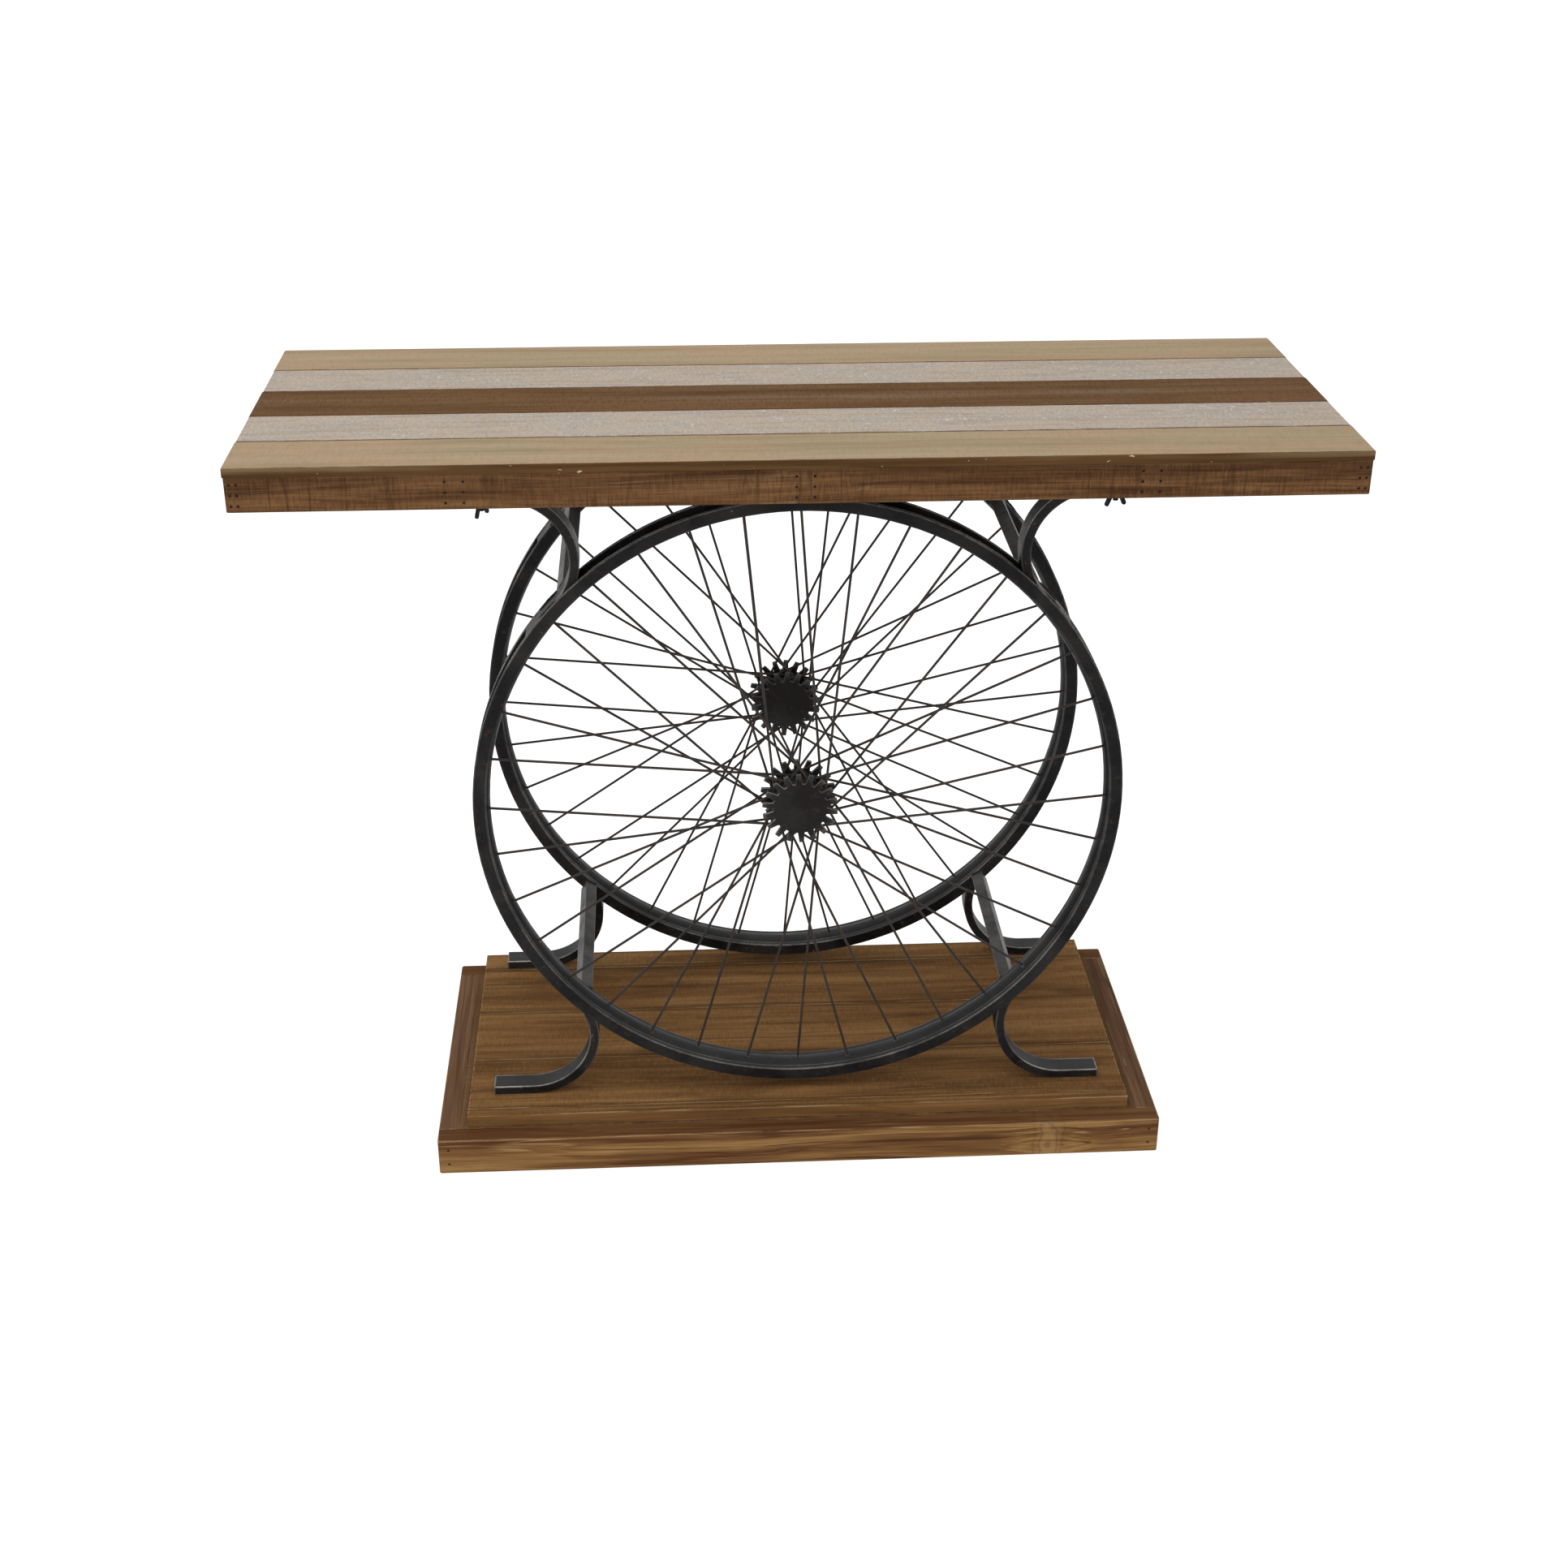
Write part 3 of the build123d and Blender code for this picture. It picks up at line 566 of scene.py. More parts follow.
def sawn_wood(name, node, tones, seed, along_y=False, streak=(0.4, 0.02), contrast=0.1, sway=0.02,
              knot=None, lines=0.0, saw=None, hatch=None, smudge=0.5, crown=0.0, flank=0.0, brow=0.0,
              seam=0.0, worn=0.0):
    """Stained board. Streak is the length and thickness of its broad streaks, contrast the share of
    their noise between the middle tone and the outer ones, lines the strength of thin lines along the
    grain, saw the marks across it as their number per metre and strength, hatch the fine marks of the
    saw's teeth likewise, smudge the strength of dark patches, crown that of a darker upper face, flank
    that of painted shade on the sides, brow that of painted shade from the overhang along the top of
    the sides, seam the width of the stain along the long edges, and worn the strength of the frayed
    edges."""
    light, middle, dark = tones
    deep = blended(0.4, dark, DARK_STAIN_AND_SHADE)
    board = Board(name, node, seed, along_y, sway, knot)
    length, thickness = streak
    broad = board.streaks(length, thickness)
    narrow = board.streaks(length * 0.5, thickness * 0.28)
    fine = board.streaks(length * 0.4, 0.0024, 3.0)
    fibres = board.streaks(0.04, 0.0012, 2.0, 0.0)
    patches = board.blotches((8, 24, 24), 3.0, 0.6)
    level = board.span(board.upward, 0.6, 0.9)
    tone = board.sum(board.times(broad, 0.55), board.times(narrow, 0.25), board.times(fine, 0.2))
    board.colour = board.ramp(tone, ((0.5 - contrast, dark), (0.5, middle), (0.5 + contrast, light)))
    board.coat(board.span(fibres, 0.5, 0.75, 0.0, 0.3), dark)
    if knot:
        knot_marks(board, knot, light, dark)
    board.height = board.sum(board.times(narrow, 0.4), board.times(fine, 0.5))
    if lines:
        grain_lines(board, lines, light, deep)
    stain = board.blotches((4.5, 17, 17), 4.0, 0.55, 0.6)
    board.coat(board.span(stain, 0.54, 0.74, 0.0, smudge), deep)
    if saw:
        saw_marks(board, saw, patches, deep)
    if hatch:
        per_metre, strength = hatch
        strength = board.times(board.span(patches, 0.3, 0.6, 0.35, 1.0), strength)
        if flank:
            strength = board.times(strength, board.sum(board.times(level, 0.8), 0.2))
        tooth_marks(board, per_metre, strength, light, deep)
    # Darker upper face.
    if crown:
        board.coat(board.times(level, crown), dark)
    if flank:
        # Painted shade on the sides of the board.
        board.coat(board.span(board.upward, 0.9, 0.6, 0.0, flank), deep)
    if brow:
        # Painted shade under the overhanging planks along the top of the sides.
        overhang_shade(board, brow, deep)
    if seam:
        seam_stain(board, seam, narrow, level, deep)
    board.coat(board.span(board.ends, 0.75, 0.95, 0.0, 0.5), deep)
    rounded = board.softened(WORN_ROUNDING if worn else BOARD_ROUNDING)
    if worn:
        frayed_edges(board, worn, rounded, light)
    roughness = board.span(narrow, 0.3, 0.7, 0.8, 0.66)
    return board.close(roughness, BOARD_SHEEN, BOARD_RELIEF, rounded)


def brushed_paint(board, settings):
    """Brushed whitewash: thin paint over the wood, with dabs of thicker paint and small bare spots."""
    cool = board.blotches((10, 34, 34), 4.0, 0.6, 0.5)
    board.colour = board.mix(board.span(cool, 0.38, 0.62), settings.whitewash, settings.whitewash_cool)
    grain = board.streaks(0.1, 0.007)
    board.coat(board.span(grain, 0.52, 0.32, 0.0, 0.5), settings.whitewash_shade)
    leaning = board.moved(board.log, turn=(0.0, 0.0, BRUSH_LEAN))
    brush = board.cloud(leaning, (380, 120, 120), 3.0, 0.6)
    board.coat(board.span(brush, 0.50, 0.30, 0.0, 0.42), settings.whitewash_shade)
    board.coat(board.span(brush, 0.54, 0.72, 0.0, 0.3), settings.whitewash_thick)
    dabs = board.blotches((150, 120, 120), 3.0, 0.6, 0.6)
    thick = board.times(board.span(dabs, 0.60, 0.66), board.span(cool, 0.48, 0.62))
    board.coat(board.times(thick, 0.8), settings.whitewash_thick)
    bare = board.blotches((110, 300, 300), 3.0, 0.6)
    board.coat(board.span(bare, 0.68, 0.73, 0.0, 0.55), settings.brown)
    board.height = board.sum(board.times(brush, 0.6), board.times(thick, 0.5))


def stained_face(board, tones, per_metre, strength):
    """Upper face of a stained plank with redder patches, and faint marks of the saw as their number per
    metre and strength. The tones are the plank's own, its streaks and its redder patches."""
    light, dark, warm = tones
    palest = blended(0.05, light, WHITE)
    broad = board.streaks(0.5, 0.022)
    narrow = board.streaks(0.14, 0.004, 3.0)
    tone = board.sum(board.times(broad, 0.7), board.times(narrow, 0.3))
    board.colour = board.ramp(tone, ((0.34, dark), (0.52, light), (0.68, palest)))
    redder = board.blotches((5, 22, 22), 4.0, 0.6, 0.4)
    board.coat(board.span(redder, 0.44, 0.62, 0.0, 0.6), warm)
    teeth = board.blotches((per_metre, 60, 60), 3.0, 0.65)
    board.coat(board.span(teeth, 0.52, 0.36, 0.0, strength), dark)
    flecks = board.blotches((90, 320, 320), 3.0, 0.6)
    board.coat(board.span(flecks, 0.64, 0.72, 0.0, 0.45), dark)
    board.height = board.sum(board.times(teeth, 0.6), board.times(narrow, 0.4))


def edge_tone(board, settings):
    """Stain on the edge of a plank, faded in places along its upper half."""
    band = board.streaks(0.3, 0.005, 3.0)
    tone = board.mix(board.span(band, 0.40, 0.62), blended(0.4, settings.edge, DARK_STAIN_AND_SHADE), settings.edge)
    uneven = board.span(band, 0.35, 0.65, -0.0015, 0.0015)
    from_middle = board.sum(board.part(board.own, "Z"), uneven)
    faded = board.times(
        board.span(from_middle, board.half_height - 0.0055, board.half_height - 0.0025),
        board.span(board.blotches((2.6, 6, 6)), 0.46, 0.62),
    )
    return board.mix(board.times(faded, 0.5), tone, settings.tan_shade)


def plank_wood(name, settings, style, seed, node):
    """Plank with its worn top, stained edges and the old stain down in its joints."""
    board = Board(name, node, seed, sway=0.015)
    half = board.half_width
    if style == "whitewash":
        brushed_paint(board, settings)
    elif style == "brown":
        tones = (settings.brown, settings.brown_shade, settings.brown_warm)
        stained_face(board, tones, 420, 0.45)
    else:
        tones = (settings.tan, settings.tan_shade, settings.tan_warm)
        stained_face(board, tones, 340, 0.3)
    wander = board.blotches((30, 4, 4), 4.0, 0.65)
    across = board.absolute(board.part(board.own, "Y"))
    reach = board.sum(across, board.span(wander, 0.25, 0.75, -0.0009, 0.0009))
    stain = board.span(reach, half - settings.joint_width * 1.8, half - settings.joint_width * 0.6)
    board.coat(board.times(stain, 0.85), settings.joint)
    ragged = board.sum(board.upward, board.span(wander, 0.3, 0.7, -0.12, 0.12))
    board.coat(board.span(ragged, 0.88, 0.62), edge_tone(board, settings))
    chips = board.span(board.blotches((85, 260, 260), 3.0, 0.6, 0.3), 0.71, 0.73)
    beside_edge = board.span(reach, half - 0.0030, half - 0.0014)
    board.coat(board.times(chips, beside_edge), settings.chip)
    board.coat(board.span(board.ends, 0.75, 0.95, 0.0, 0.6), blended(0.5, settings.edge, DARK_STAIN_AND_SHADE))
    roughness = board.span(wander, 0.3, 0.7, 0.85, 0.75)
    rounded = board.softened(PLANK_ROUNDING)
    return board.close(roughness, PLANK_SHEEN, PLANK_RELIEF, rounded)


# ------------------------------------------------------------------ metal

METAL_RELIEF = 0.0002
METAL_SHEEN = 0.1


def worn_lacquer(name, settings, coat, rub_and_highlight, edge_width=None, rust=0.4, threads=False, teeth=None):
    """Dark lacquer over steel, with thin patches and specks of rust. The rub strength is how strongly
    its edges are worn bright, with a painted highlight that is strongest on edges that face up. Teeth
    are the height of the axle and the distances from it between which the wear on toothed discs grows."""
    finish = Finish(name)
    place = finish.place()
    patches = finish.cloud(place, (13, 13, 13), 5.0, 0.62, 0.3)
    grime = finish.cloud(place, (55, 55, 55), 6.0, 0.7)
    scratches = finish.cloud(place, (230, 230, 230), 3.0, 0.6, 0.5)
    finish.colour = finish.mix(finish.span(patches, 0.42, 0.66), coat, settings.lacquer_light)
    finish.coat(finish.span(grime, 0.52, 0.7, 0.0, 0.6), settings.lacquer_light)
    specks = finish.span(finish.cloud(place, (110, 110, 110), 3.0, 0.6), 0.62, 0.70)
    specks = finish.times(specks, finish.span(grime, 0.46, 0.6))
    finish.coat(finish.times(specks, rust), settings.rust)
    rounded = finish.softened(edge_width or settings.rub_and_highlight_width)
    upward = finish.part(rounded, "Z")
    # Grey coat on what faces up: painted sheen of the overhead lamp, and dust.
    finish.coat(finish.span(upward, 0.3, 0.95, 0.0, 0.5), settings.dust_and_sheen)
    mottle = finish.sum(finish.times(grime, 0.6), finish.times(scratches, 0.4))
    # Bright edges: worn steel in places, with a painted highlight that is strongest on edges that face
    # up.
    rubbed_and_highlit = finish.times(
        finish.edges(rounded), finish.span(mottle, 0.32, 0.44),
        finish.span(upward, -0.2, 0.4, 0.2, 1.0), finish.span(patches, 0.40, 0.56, 0.35, 1.0),
    )
    nicks = finish.times(finish.span(scratches, 0.68, 0.73), finish.span(patches, 0.46, 0.6))
    steel = finish.maths("MAXIMUM", finish.times(rubbed_and_highlit, rub_and_highlight), finish.times(nicks, 0.35))
    if teeth:
        axle_height, root, tip = teeth
        outward = finish.distance(place, (0.0, 0.0, axle_height), (1.0, 0.0, 1.0))
        polished = finish.times(
            finish.span(outward, root, tip, 0.0, 0.16), finish.span(mottle, 0.42, 0.58, 0.1, 1.0)
        )
        steel = finish.maths("MAXIMUM", steel, polished)
    # Colours worn steel, the painted edge highlight and the worn hub teeth alike.
    finish.coat(steel, settings.bare)
    finish.feed(finish.surface.inputs["Metallic"], finish.times(steel, 0.8))
    finish.height = finish.sum(finish.times(patches, 0.5), finish.times(grime, 0.35))
    if threads:
        turn = finish.maths("FRACT", finish.times(finish.part(place, "Z"), 1 / settings.thread_pitch))
        flank = finish.absolute(finish.sum(turn, -0.5))
        finish.lift(finish.times(flank, 3.0))
    roughness = finish.span(grime, 0.35, 0.7, 0.38, 0.56)
    return finish.close(roughness, METAL_SHEEN, METAL_RELIEF, rounded)


# ------------------------------------------------------------------ weld beads

BEAD_SIDES = 10
CHANNEL_STEP = 0.0006  # between the rings of a bead in the channel
BAR_SIDE_STEPS = 25
FEWEST_RINGS = 6  # a shorter bead is left out
INSIDE_RIM = 0.0005  # from the rim's outer edge to the middle of a bead
PAST_BAR = 0.15  # share of a channel bead that runs on past the place where the bar leaves the rim
END_LEAD = 0.6  # steps from the pointed end of a bead's outline to its first ring
TAPER = 0.35  # the less, the blunter the ends of a bead
NECK = 0.82  # thickness between the ripples, as a share of the bead's width
RIPPLE_RISE = 0.18
SWELL_RISE, SWELLS_PER_METRE = 0.22, 260
LUMP_RISE, LUMPS_PER_METRE = 0.16, 620


def bead_mesh(name, paths, width, ripple):
    """Weld beads along the given paths: tubes that ripple, because the pool of metal set in steps."""
    mesh = bmesh.new()
    for path in paths:
        rings = []
        run = 0.0
        last = len(path) - 1
        for step, point in enumerate(path):
            before = path[max(step - 1, 0)]
            after = path[min(step + 1, last)]
            ahead = (after - before).normalized()
            run += (point - before).length
            taper = math.sin(math.pi * (step + END_LEAD) / (last + 2 * END_LEAD)) ** TAPER
            rippled = NECK + RIPPLE_RISE * abs(math.sin(math.pi * run / ripple))
            swell = rippled + SWELL_RISE * noise.noise(point * SWELLS_PER_METRE)
            radius = width / 2 * taper * swell
            aside = ahead.orthogonal().normalized()
            above = ahead.cross(aside)
            ring = []
            for side in range(BEAD_SIDES):
                angle = 2 * math.pi * side / BEAD_SIDES
                place = point + aside * math.cos(angle) * radius
                lumps = 1 + LUMP_RISE * noise.noise(place * LUMPS_PER_METRE)
                reach = aside * math.cos(angle) + above * math.sin(angle)
                ring.append(mesh.verts.new(point + reach * radius * lumps))
            rings.append(ring)
        mesh.faces.new(rings[0][::-1])
        mesh.faces.new(rings[-1])
        for low, high in zip(rings, rings[1:]):
            for side in range(BEAD_SIDES):
                beside = (side + 1) % BEAD_SIDES
                mesh.faces.new((low[side], low[beside], high[beside], high[side]))
    bmesh.ops.recalc_face_normals(mesh, faces=mesh.faces[:])
    data = bpy.data.meshes.new(name)
    mesh.to_mesh(data)
    mesh.free()
    data.shade_smooth()
    return data


def add_beads(name, paths, width, ripple, material):
    """Add weld beads to the table as a piece of their own."""
    data = bead_mesh(name, paths, width, ripple)
    data.materials.append(material)
    piece = bpy.data.objects.new(name, data)
    bpy.context.scene.collection.objects.link(piece)
    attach(piece, TABLE_BODY)


def channel_paths(middle, rim_radius, angle, level, end, welds):
    """Paths of the two beads beside a bar in the rim channel, at the angle where the bar leaves it."""
    steps = round(welds.channel_bead_length / CHANNEL_STEP)
    sweep = welds.channel_bead_length / rim_radius
    paths = []
    for side in (-1, 1):
        path = []
        for step in range(steps + 1):
            place = angle + sweep * (PAST_BAR - step / steps)
            outward = Vector((end * math.cos(place), 0, level * math.sin(place)))
            aside = Vector((0, side * welds.channel_bead_aside, 0))
            path.append(middle + outward * (rim_radius - INSIDE_RIM) + aside)
        paths.append(path)
    return paths


def bar_end_paths(centre, half, turn, axle, reach):
    """Paths of the beads along the sides of a square bar, where they lie on the wall of the rim."""
    corners = [(-half, -half), (half, -half), (half, half), (-half, half)]
    cos, sin = math.cos(turn), math.sin(turn)
    paths = []
    for (x0, z0), (x1, z1) in zip(corners, corners[1:] + corners[:1]):
        path = []
        for step in range(BAR_SIDE_STEPS + 1):
            share = step / BAR_SIDE_STEPS
            x, z = x0 + (x1 - x0) * share, z0 + (z1 - z0) * share
            aside = Vector((x * cos - z * sin, 0, x * sin + z * cos))
            radius = math.hypot(centre.x + aside.x - axle.x, centre.z + aside.z - axle.z)
            if reach[0] < radius < reach[1]:
                path.append(centre + aside)
        if len(path) >= FEWEST_RINGS:
            paths.append(path)
    return paths


# ------------------------------------------------------------------ operators

# First seed of each group of boards. Every board has a seed of its own.
PLANK_SEED = 11
RAIL_SEED = 31
BATTEN_SEED = 41
DECK_SEED = 51
BASE_SEED = 61
BASE_END_SEED = 71
PANEL_SEED = 81

PLANK_STYLES = ("tan", "whitewash", "brown", "whitewash", "tan")
KNOTS = {"front": (0.300, 0.0, -0.010), "rear": (-0.210, 0.0, 0.006)}  # from the middle of the board
RIM_RUB_AND_HIGHLIGHT = 1.7  # width of the band of worn steel and painted highlight along edges, in multiples of the width setting
# The same band of worn steel and painted highlight on the feet and brackets.
BENT_BAR_RUB_AND_HIGHLIGHT = 1.9


def finish_hidden_boards(nodes, tones, first_seed):
    """Give boards that hardly show, with their grain along y, a plain finish."""
    for seed, node in enumerate(nodes, start=first_seed):
        wood = sawn_wood(node, node, tones, seed, along_y=True, contrast=0.15, hatch=(420, 0.3))
        wear_finish(node, wood)


class WHEELTABLE_OT_planks(bpy.types.Operator):
    """Finish the five planks on top"""

    bl_idname = "wheeltable.planks"
    bl_label = "Planks"

    def execute(self, context):
        settings = context.scene.wheel_table.planks
        for index, style in enumerate(PLANK_STYLES):
            node = f"top_plank_{index + 1}"
            name = f"{style}_plank_{index + 1}"
            wear_finish(node, plank_wood(name, settings, style, PLANK_SEED + index, node))
        return {"FINISHED"}


class WHEELTABLE_OT_rails(bpy.types.Operator):
    """Finish the rails and battens below the planks"""

    bl_idname = "wheeltable.rails"
    bl_label = "Rails"

    def execute(self, context):
        timber = context.scene.wheel_table.timber
        tones = (timber.rail_light, timber.rail, timber.rail_shade)
        for seed, name in enumerate(("front", "rear", "left", "right"), start=RAIL_SEED):
            rail = sawn_wood(
                f"rail_{name}", f"apron_{name}", tones, seed, along_y=name in ("left", "right"),
                streak=(0.2, 0.009), contrast=0.115, lines=0.35, saw=(60, 0.5), hatch=(560, 0.4),
                smudge=0.45, brow=0.4, worn=0.4,
            )
            wear_finish(f"apron_{name}", rail)
        tones = (timber.batten_light, timber.batten, timber.batten_shade)
        finish_hidden_boards(nodes_named("batten"), tones, BATTEN_SEED)
        return {"FINISHED"}


class WHEELTABLE_OT_base(bpy.types.Operator):
    """Finish the boards of the base"""

    bl_idname = "wheeltable.base"
    bl_label = "Base"

    def execute(self, context):
        timber = context.scene.wheel_table.timber
        tones = (timber.deck_light, timber.deck, timber.deck_shade)
        for seed, node in enumerate(nodes_named("deck_board"), start=DECK_SEED):
            board = sawn_wood(
                node, node, tones, seed, streak=(0.5, 0.045), contrast=0.14, lines=0.35,
                hatch=(430, 0.28), smudge=0.6, flank=0.25, seam=0.006, worn=1.0,
            )
            wear_finish(node, board)
        tones = (timber.base_light, timber.base, timber.base_shade)
        for seed, (name, knot) in enumerate(KNOTS.items(), start=BASE_SEED):
            board = sawn_wood(
                f"base_{name}", f"base_board_{name}", tones, seed, streak=(0.5, 0.019), contrast=0.09,
                sway=0.03, knot=knot, lines=0.9, smudge=0.4, crown=0.65, worn=0.95,
            )
            wear_finish(f"base_board_{name}", board)
        tones = (timber.base_end_light, timber.base_end, timber.base_end_shade)
        for seed, name in enumerate(("left", "right"), start=BASE_END_SEED):
            board = sawn_wood(
                f"base_{name}", f"base_board_{name}", tones, seed, along_y=True, streak=(0.4, 0.014),
                contrast=0.12, lines=0.5, smudge=0.4, worn=0.6,
            )
            wear_finish(f"base_board_{name}", board)
        tones = (timber.panel_light, timber.panel, timber.panel_shade)
        finish_hidden_boards(["sub_panel", *nodes_named("cleat")], tones, PANEL_SEED)
        return {"FINISHED"}


class WHEELTABLE_OT_wheels(bpy.types.Operator):
    """Finish the rims, spokes and hubs"""

    bl_idname = "wheeltable.wheels"
    bl_label = "Wheels"

    def execute(self, context):
        metal = context.scene.wheel_table.metal
        edge_width = metal.rub_and_highlight_width * RIM_RUB_AND_HIGHLIGHT
        rim = worn_lacquer("rim_lacquer", metal, metal.lacquer, rub_and_highlight=1.0, edge_width=edge_width)
        wear_everywhere(rim, "rim")
        low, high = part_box("rim_front")
        teeth = ((low.z + high.z) / 2, metal.tooth_root, metal.tooth_tip)
        wear_everywhere(worn_lacquer("hub_lacquer", metal, metal.hub, rub_and_highlight=0.9, teeth=teeth), "hub")
        spoke = worn_lacquer("spoke_lacquer", metal, metal.spoke, rub_and_highlight=0.1, edge_width=0.0003, rust=0.7)
        wear_everywhere(spoke, "spokes")
        return {"FINISHED"}


class WHEELTABLE_OT_bars(bpy.types.Operator):
    """Finish the feet, brackets and cross bars"""

    bl_idname = "wheeltable.bars"
    bl_label = "Bars"

    def execute(self, context):
        metal = context.scene.wheel_table.metal
        edge_width = metal.rub_and_highlight_width * BENT_BAR_RUB_AND_HIGHLIGHT
        bar = worn_lacquer("bar_lacquer", metal, metal.lacquer, rub_and_highlight=1.0, edge_width=edge_width)
        wear_everywhere(bar, "foot_front", "foot_rear", "bracket")
        wear_everywhere(worn_lacquer("cross_bar_lacquer", metal, metal.cross_bar, rub_and_highlight=0.7), "cross_bar")
        return {"FINISHED"}


class WHEELTABLE_OT_welds(bpy.types.Operator):
    """Lay the weld beads between the bars and the rims"""

    bl_idname = "wheeltable.welds"
    bl_label = "Welds"

    def execute(self, context):
        welds = context.scene.wheel_table.welds
        metal = context.scene.wheel_table.metal
        coat = worn_lacquer("weld_lacquer", metal, metal.lacquer, rub_and_highlight=0.3, edge_width=0.0005, rust=0.9)
        for name, inward in (("front", 1), ("rear", -1)):
            low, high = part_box(f"rim_{name}")
            axle = (low + high) / 2
            rim_radius = (high.z - low.z) / 2
            paths = []
            for level, angle in ((-1, welds.foot_angle), (1, welds.bracket_angle)):
                for end in (-1, 1):
                    paths += channel_paths(axle, rim_radius, angle, level, end, welds)
            add_beads(f"channel_welds_{name}", paths, welds.channel_bead_width, welds.ripple, coat)
            paths = []
            reach = (rim_radius - welds.rim_depth, rim_radius - INSIDE_RIM)
            for level_name in ("lower", "upper"):
                for end_name, end in (("left", -1), ("right", 1)):
                    bar_low, bar_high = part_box(f"cross_bar_{level_name}_{end_name}")
                    centre = (bar_low + bar_high) / 2
                    centre.y = axle.y + inward * (high.y - low.y) / 2
                    roll = end * welds.bar_roll
                    paths += bar_end_paths(centre, welds.bar_size / 2, roll, axle, reach)
            add_beads(f"cross_bar_welds_{name}", paths, welds.bar_bead_width, welds.ripple, coat)
        return {"FINISHED"}


class WHEELTABLE_OT_fasteners(bpy.types.Operator):
    """Finish the nails, bolts, washers, wing nuts and screws"""

    bl_idname = "wheeltable.fasteners"
    bl_label = "Fasteners"

    def execute(self, context):
        metal = context.scene.wheel_table.metal
        nail = worn_lacquer("nail_iron", metal, metal.nail, rub_and_highlight=0.2, edge_width=0.0003)
        wear_everywhere(nail, "apron_nails", "base_nails")
        threaded = worn_lacquer(
            "threaded_steel", metal, metal.lacquer, rub_and_highlight=0.4, edge_width=0.0004, threads=True
        )
        wear_everywhere(threaded, "bolts", "foot_screws")
        hardware = worn_lacquer("fastener_steel", metal, metal.lacquer, rub_and_highlight=0.6, edge_width=0.0006)
        wear_everywhere(hardware, "washers", "wing_nut")
        return {"FINISHED"}


# ------------------------------------------------------------------ stage

FLOOR_COLOUR = (0.80, 0.80, 0.80)
FLOOR_GLOW = 0.62
FLOOR_GAP = 0.0003  # between the floor and the lowest point of the table
SENSOR_WIDTH = 36.0


def floor_material():
    """Matt white floor that shows white where it is lit and keeps the table's shadow."""
    floor = Finish("studio_floor", "ShaderNodeAddShader")
    matt = floor.node("ShaderNodeBsdfDiffuse")
    floor.feed(matt.inputs["Color"], FLOOR_COLOUR)
    glow = floor.node("ShaderNodeEmission")
    floor.feed(glow.inputs["Strength"], floor.times(floor.seen_directly(), FLOOR_GLOW))
    floor.feed(floor.surface.inputs[0], matt.outputs[0])
    floor.feed(floor.surface.inputs[1], glow.outputs[0])
    return floor.material


def light_room(strength):
    """Even light from all round, and plain white where the room is seen directly."""
    world = bpy.data.worlds.new("studio_room")
    bpy.context.scene.world = world
    world.use_nodes = True
    room = Nodes(world.node_tree)
    background = room.tree.nodes["Background"].inputs
    room.feed(background["Color"], WHITE)
    room.feed(background["Strength"], room.span(room.seen_directly(), 0.0, 1.0, strength, 1.0))


def add_lamp(name, place, target, size, power):
    """Large square lamp that points at the target."""
    data = bpy.data.lights.new(name, "AREA")
    data.shape = "SQUARE"
    data.size = size
    data.energy = power
    lamp = bpy.data.objects.new(name, data)
    bpy.context.scene.collection.objects.link(lamp)
    lamp.location = place
    lamp.rotation_euler = (Vector(target) - Vector(place)).to_track_quat("-Z", "Y").to_euler()


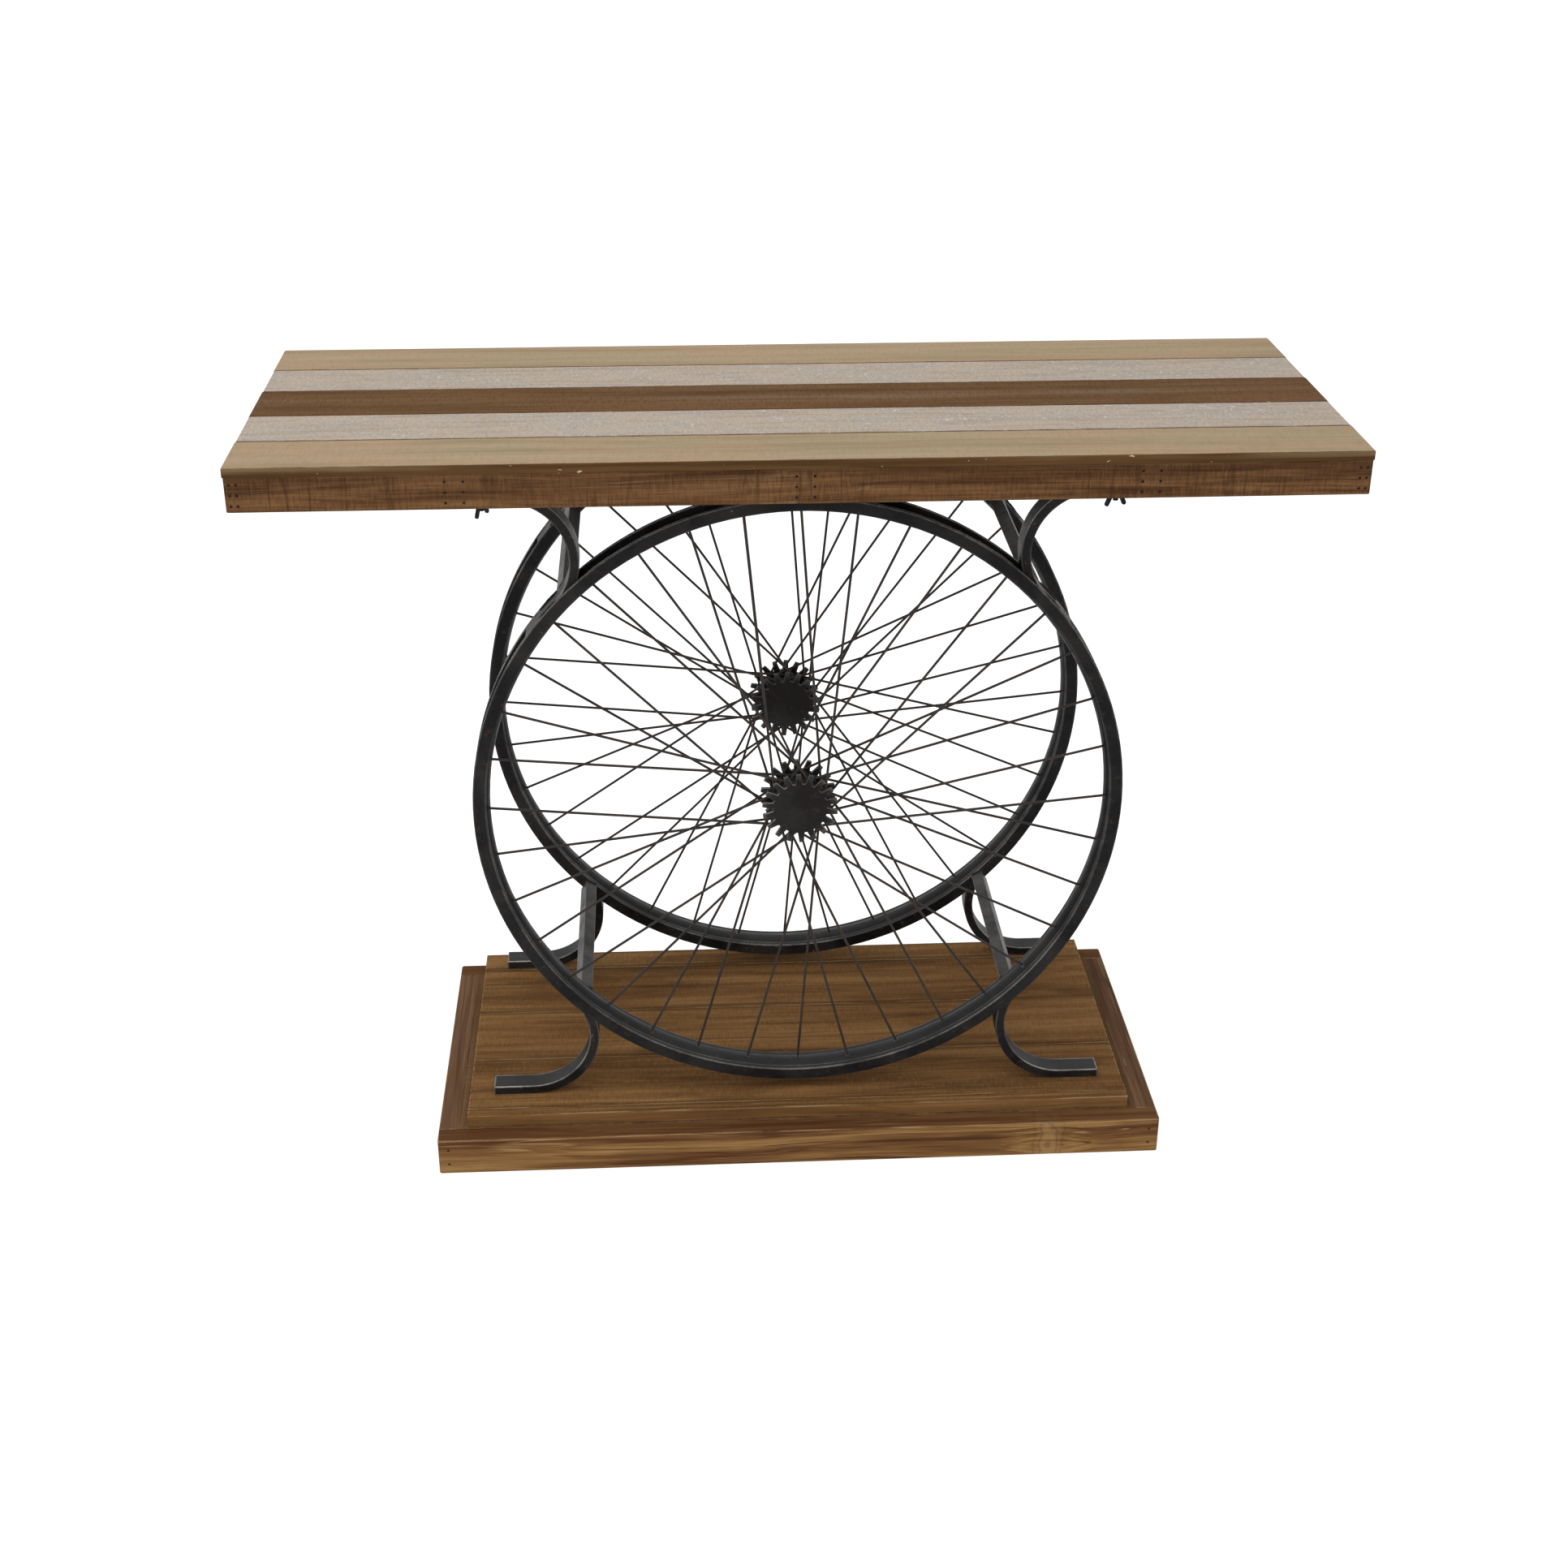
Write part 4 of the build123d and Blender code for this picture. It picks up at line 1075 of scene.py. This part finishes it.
class WHEELTABLE_OT_stage(bpy.types.Operator):
    """Lay the floor, hang the lamps and set up the camera"""

    bl_idname = "wheeltable.stage"
    bl_label = "Stage"

    def execute(self, context):
        studio = context.scene.wheel_table.studio
        half = studio.floor_size / 2
        mesh = bpy.data.meshes.new("studio_floor")
        corners = [(-half, -half, 0), (half, -half, 0), (half, half, 0), (-half, half, 0)]
        mesh.from_pydata(corners, [], [(0, 1, 2, 3)])
        mesh.materials.append(floor_material())
        floor = bpy.data.objects.new("studio_floor", mesh)
        floor.location.z = CAD_BOX[0][2] - FLOOR_GAP
        context.scene.collection.objects.link(floor)
        light_room(studio.room_light)
        add_lamp(
            "overhead_lamp", place=(-0.4, -0.3, 3.2), target=(0.0, 0.0, 0.5), size=3.0,
            power=studio.overhead_power,
        )
        add_lamp(
            "front_lamp", place=(-1.2, -3.6, 2.0), target=(0.0, 0.0, 0.45), size=2.4,
            power=studio.front_power,
        )
        camera_data = bpy.data.cameras.new("studio_camera")
        camera_data.sensor_width = SENSOR_WIDTH
        camera_data.lens = studio.camera_lens
        camera = bpy.data.objects.new("studio_camera", camera_data)
        camera.location = studio.camera_place
        camera.rotation_euler = studio.camera_turn
        context.scene.collection.objects.link(camera)
        context.scene.camera = camera
        context.scene.view_settings.view_transform = "Standard"
        return {"FINISHED"}


# ------------------------------------------------------------------ panel and registration

STEPS = (
    WHEELTABLE_OT_planks,
    WHEELTABLE_OT_rails,
    WHEELTABLE_OT_base,
    WHEELTABLE_OT_wheels,
    WHEELTABLE_OT_bars,
    WHEELTABLE_OT_welds,
    WHEELTABLE_OT_fasteners,
    WHEELTABLE_OT_stage,
)


class WHEELTABLE_PT_steps(bpy.types.Panel):
    """Buttons for the pieces of the table"""

    bl_label = "Wheel Console Table"
    bl_space_type = "VIEW_3D"
    bl_region_type = "UI"
    bl_category = "Table"

    def draw(self, context):
        for step in STEPS:
            self.layout.operator(step.bl_idname)


CLASSES = (
    PlankSettings,
    TimberSettings,
    MetalSettings,
    WeldSettings,
    StudioSettings,
    TableSettings,
    *STEPS,
    WHEELTABLE_PT_steps,
)


def register():
    for item in CLASSES:
        bpy.utils.register_class(item)
    bpy.types.Scene.wheel_table = PointerProperty(type=TableSettings)


def unregister():
    del bpy.types.Scene.wheel_table
    for item in reversed(CLASSES):
        bpy.utils.unregister_class(item)


def main():
    register()
    for step in STEPS:
        category, _, name = step.bl_idname.partition(".")
        getattr(getattr(bpy.ops, category), name)()


if __name__ == "__main__":
    main()
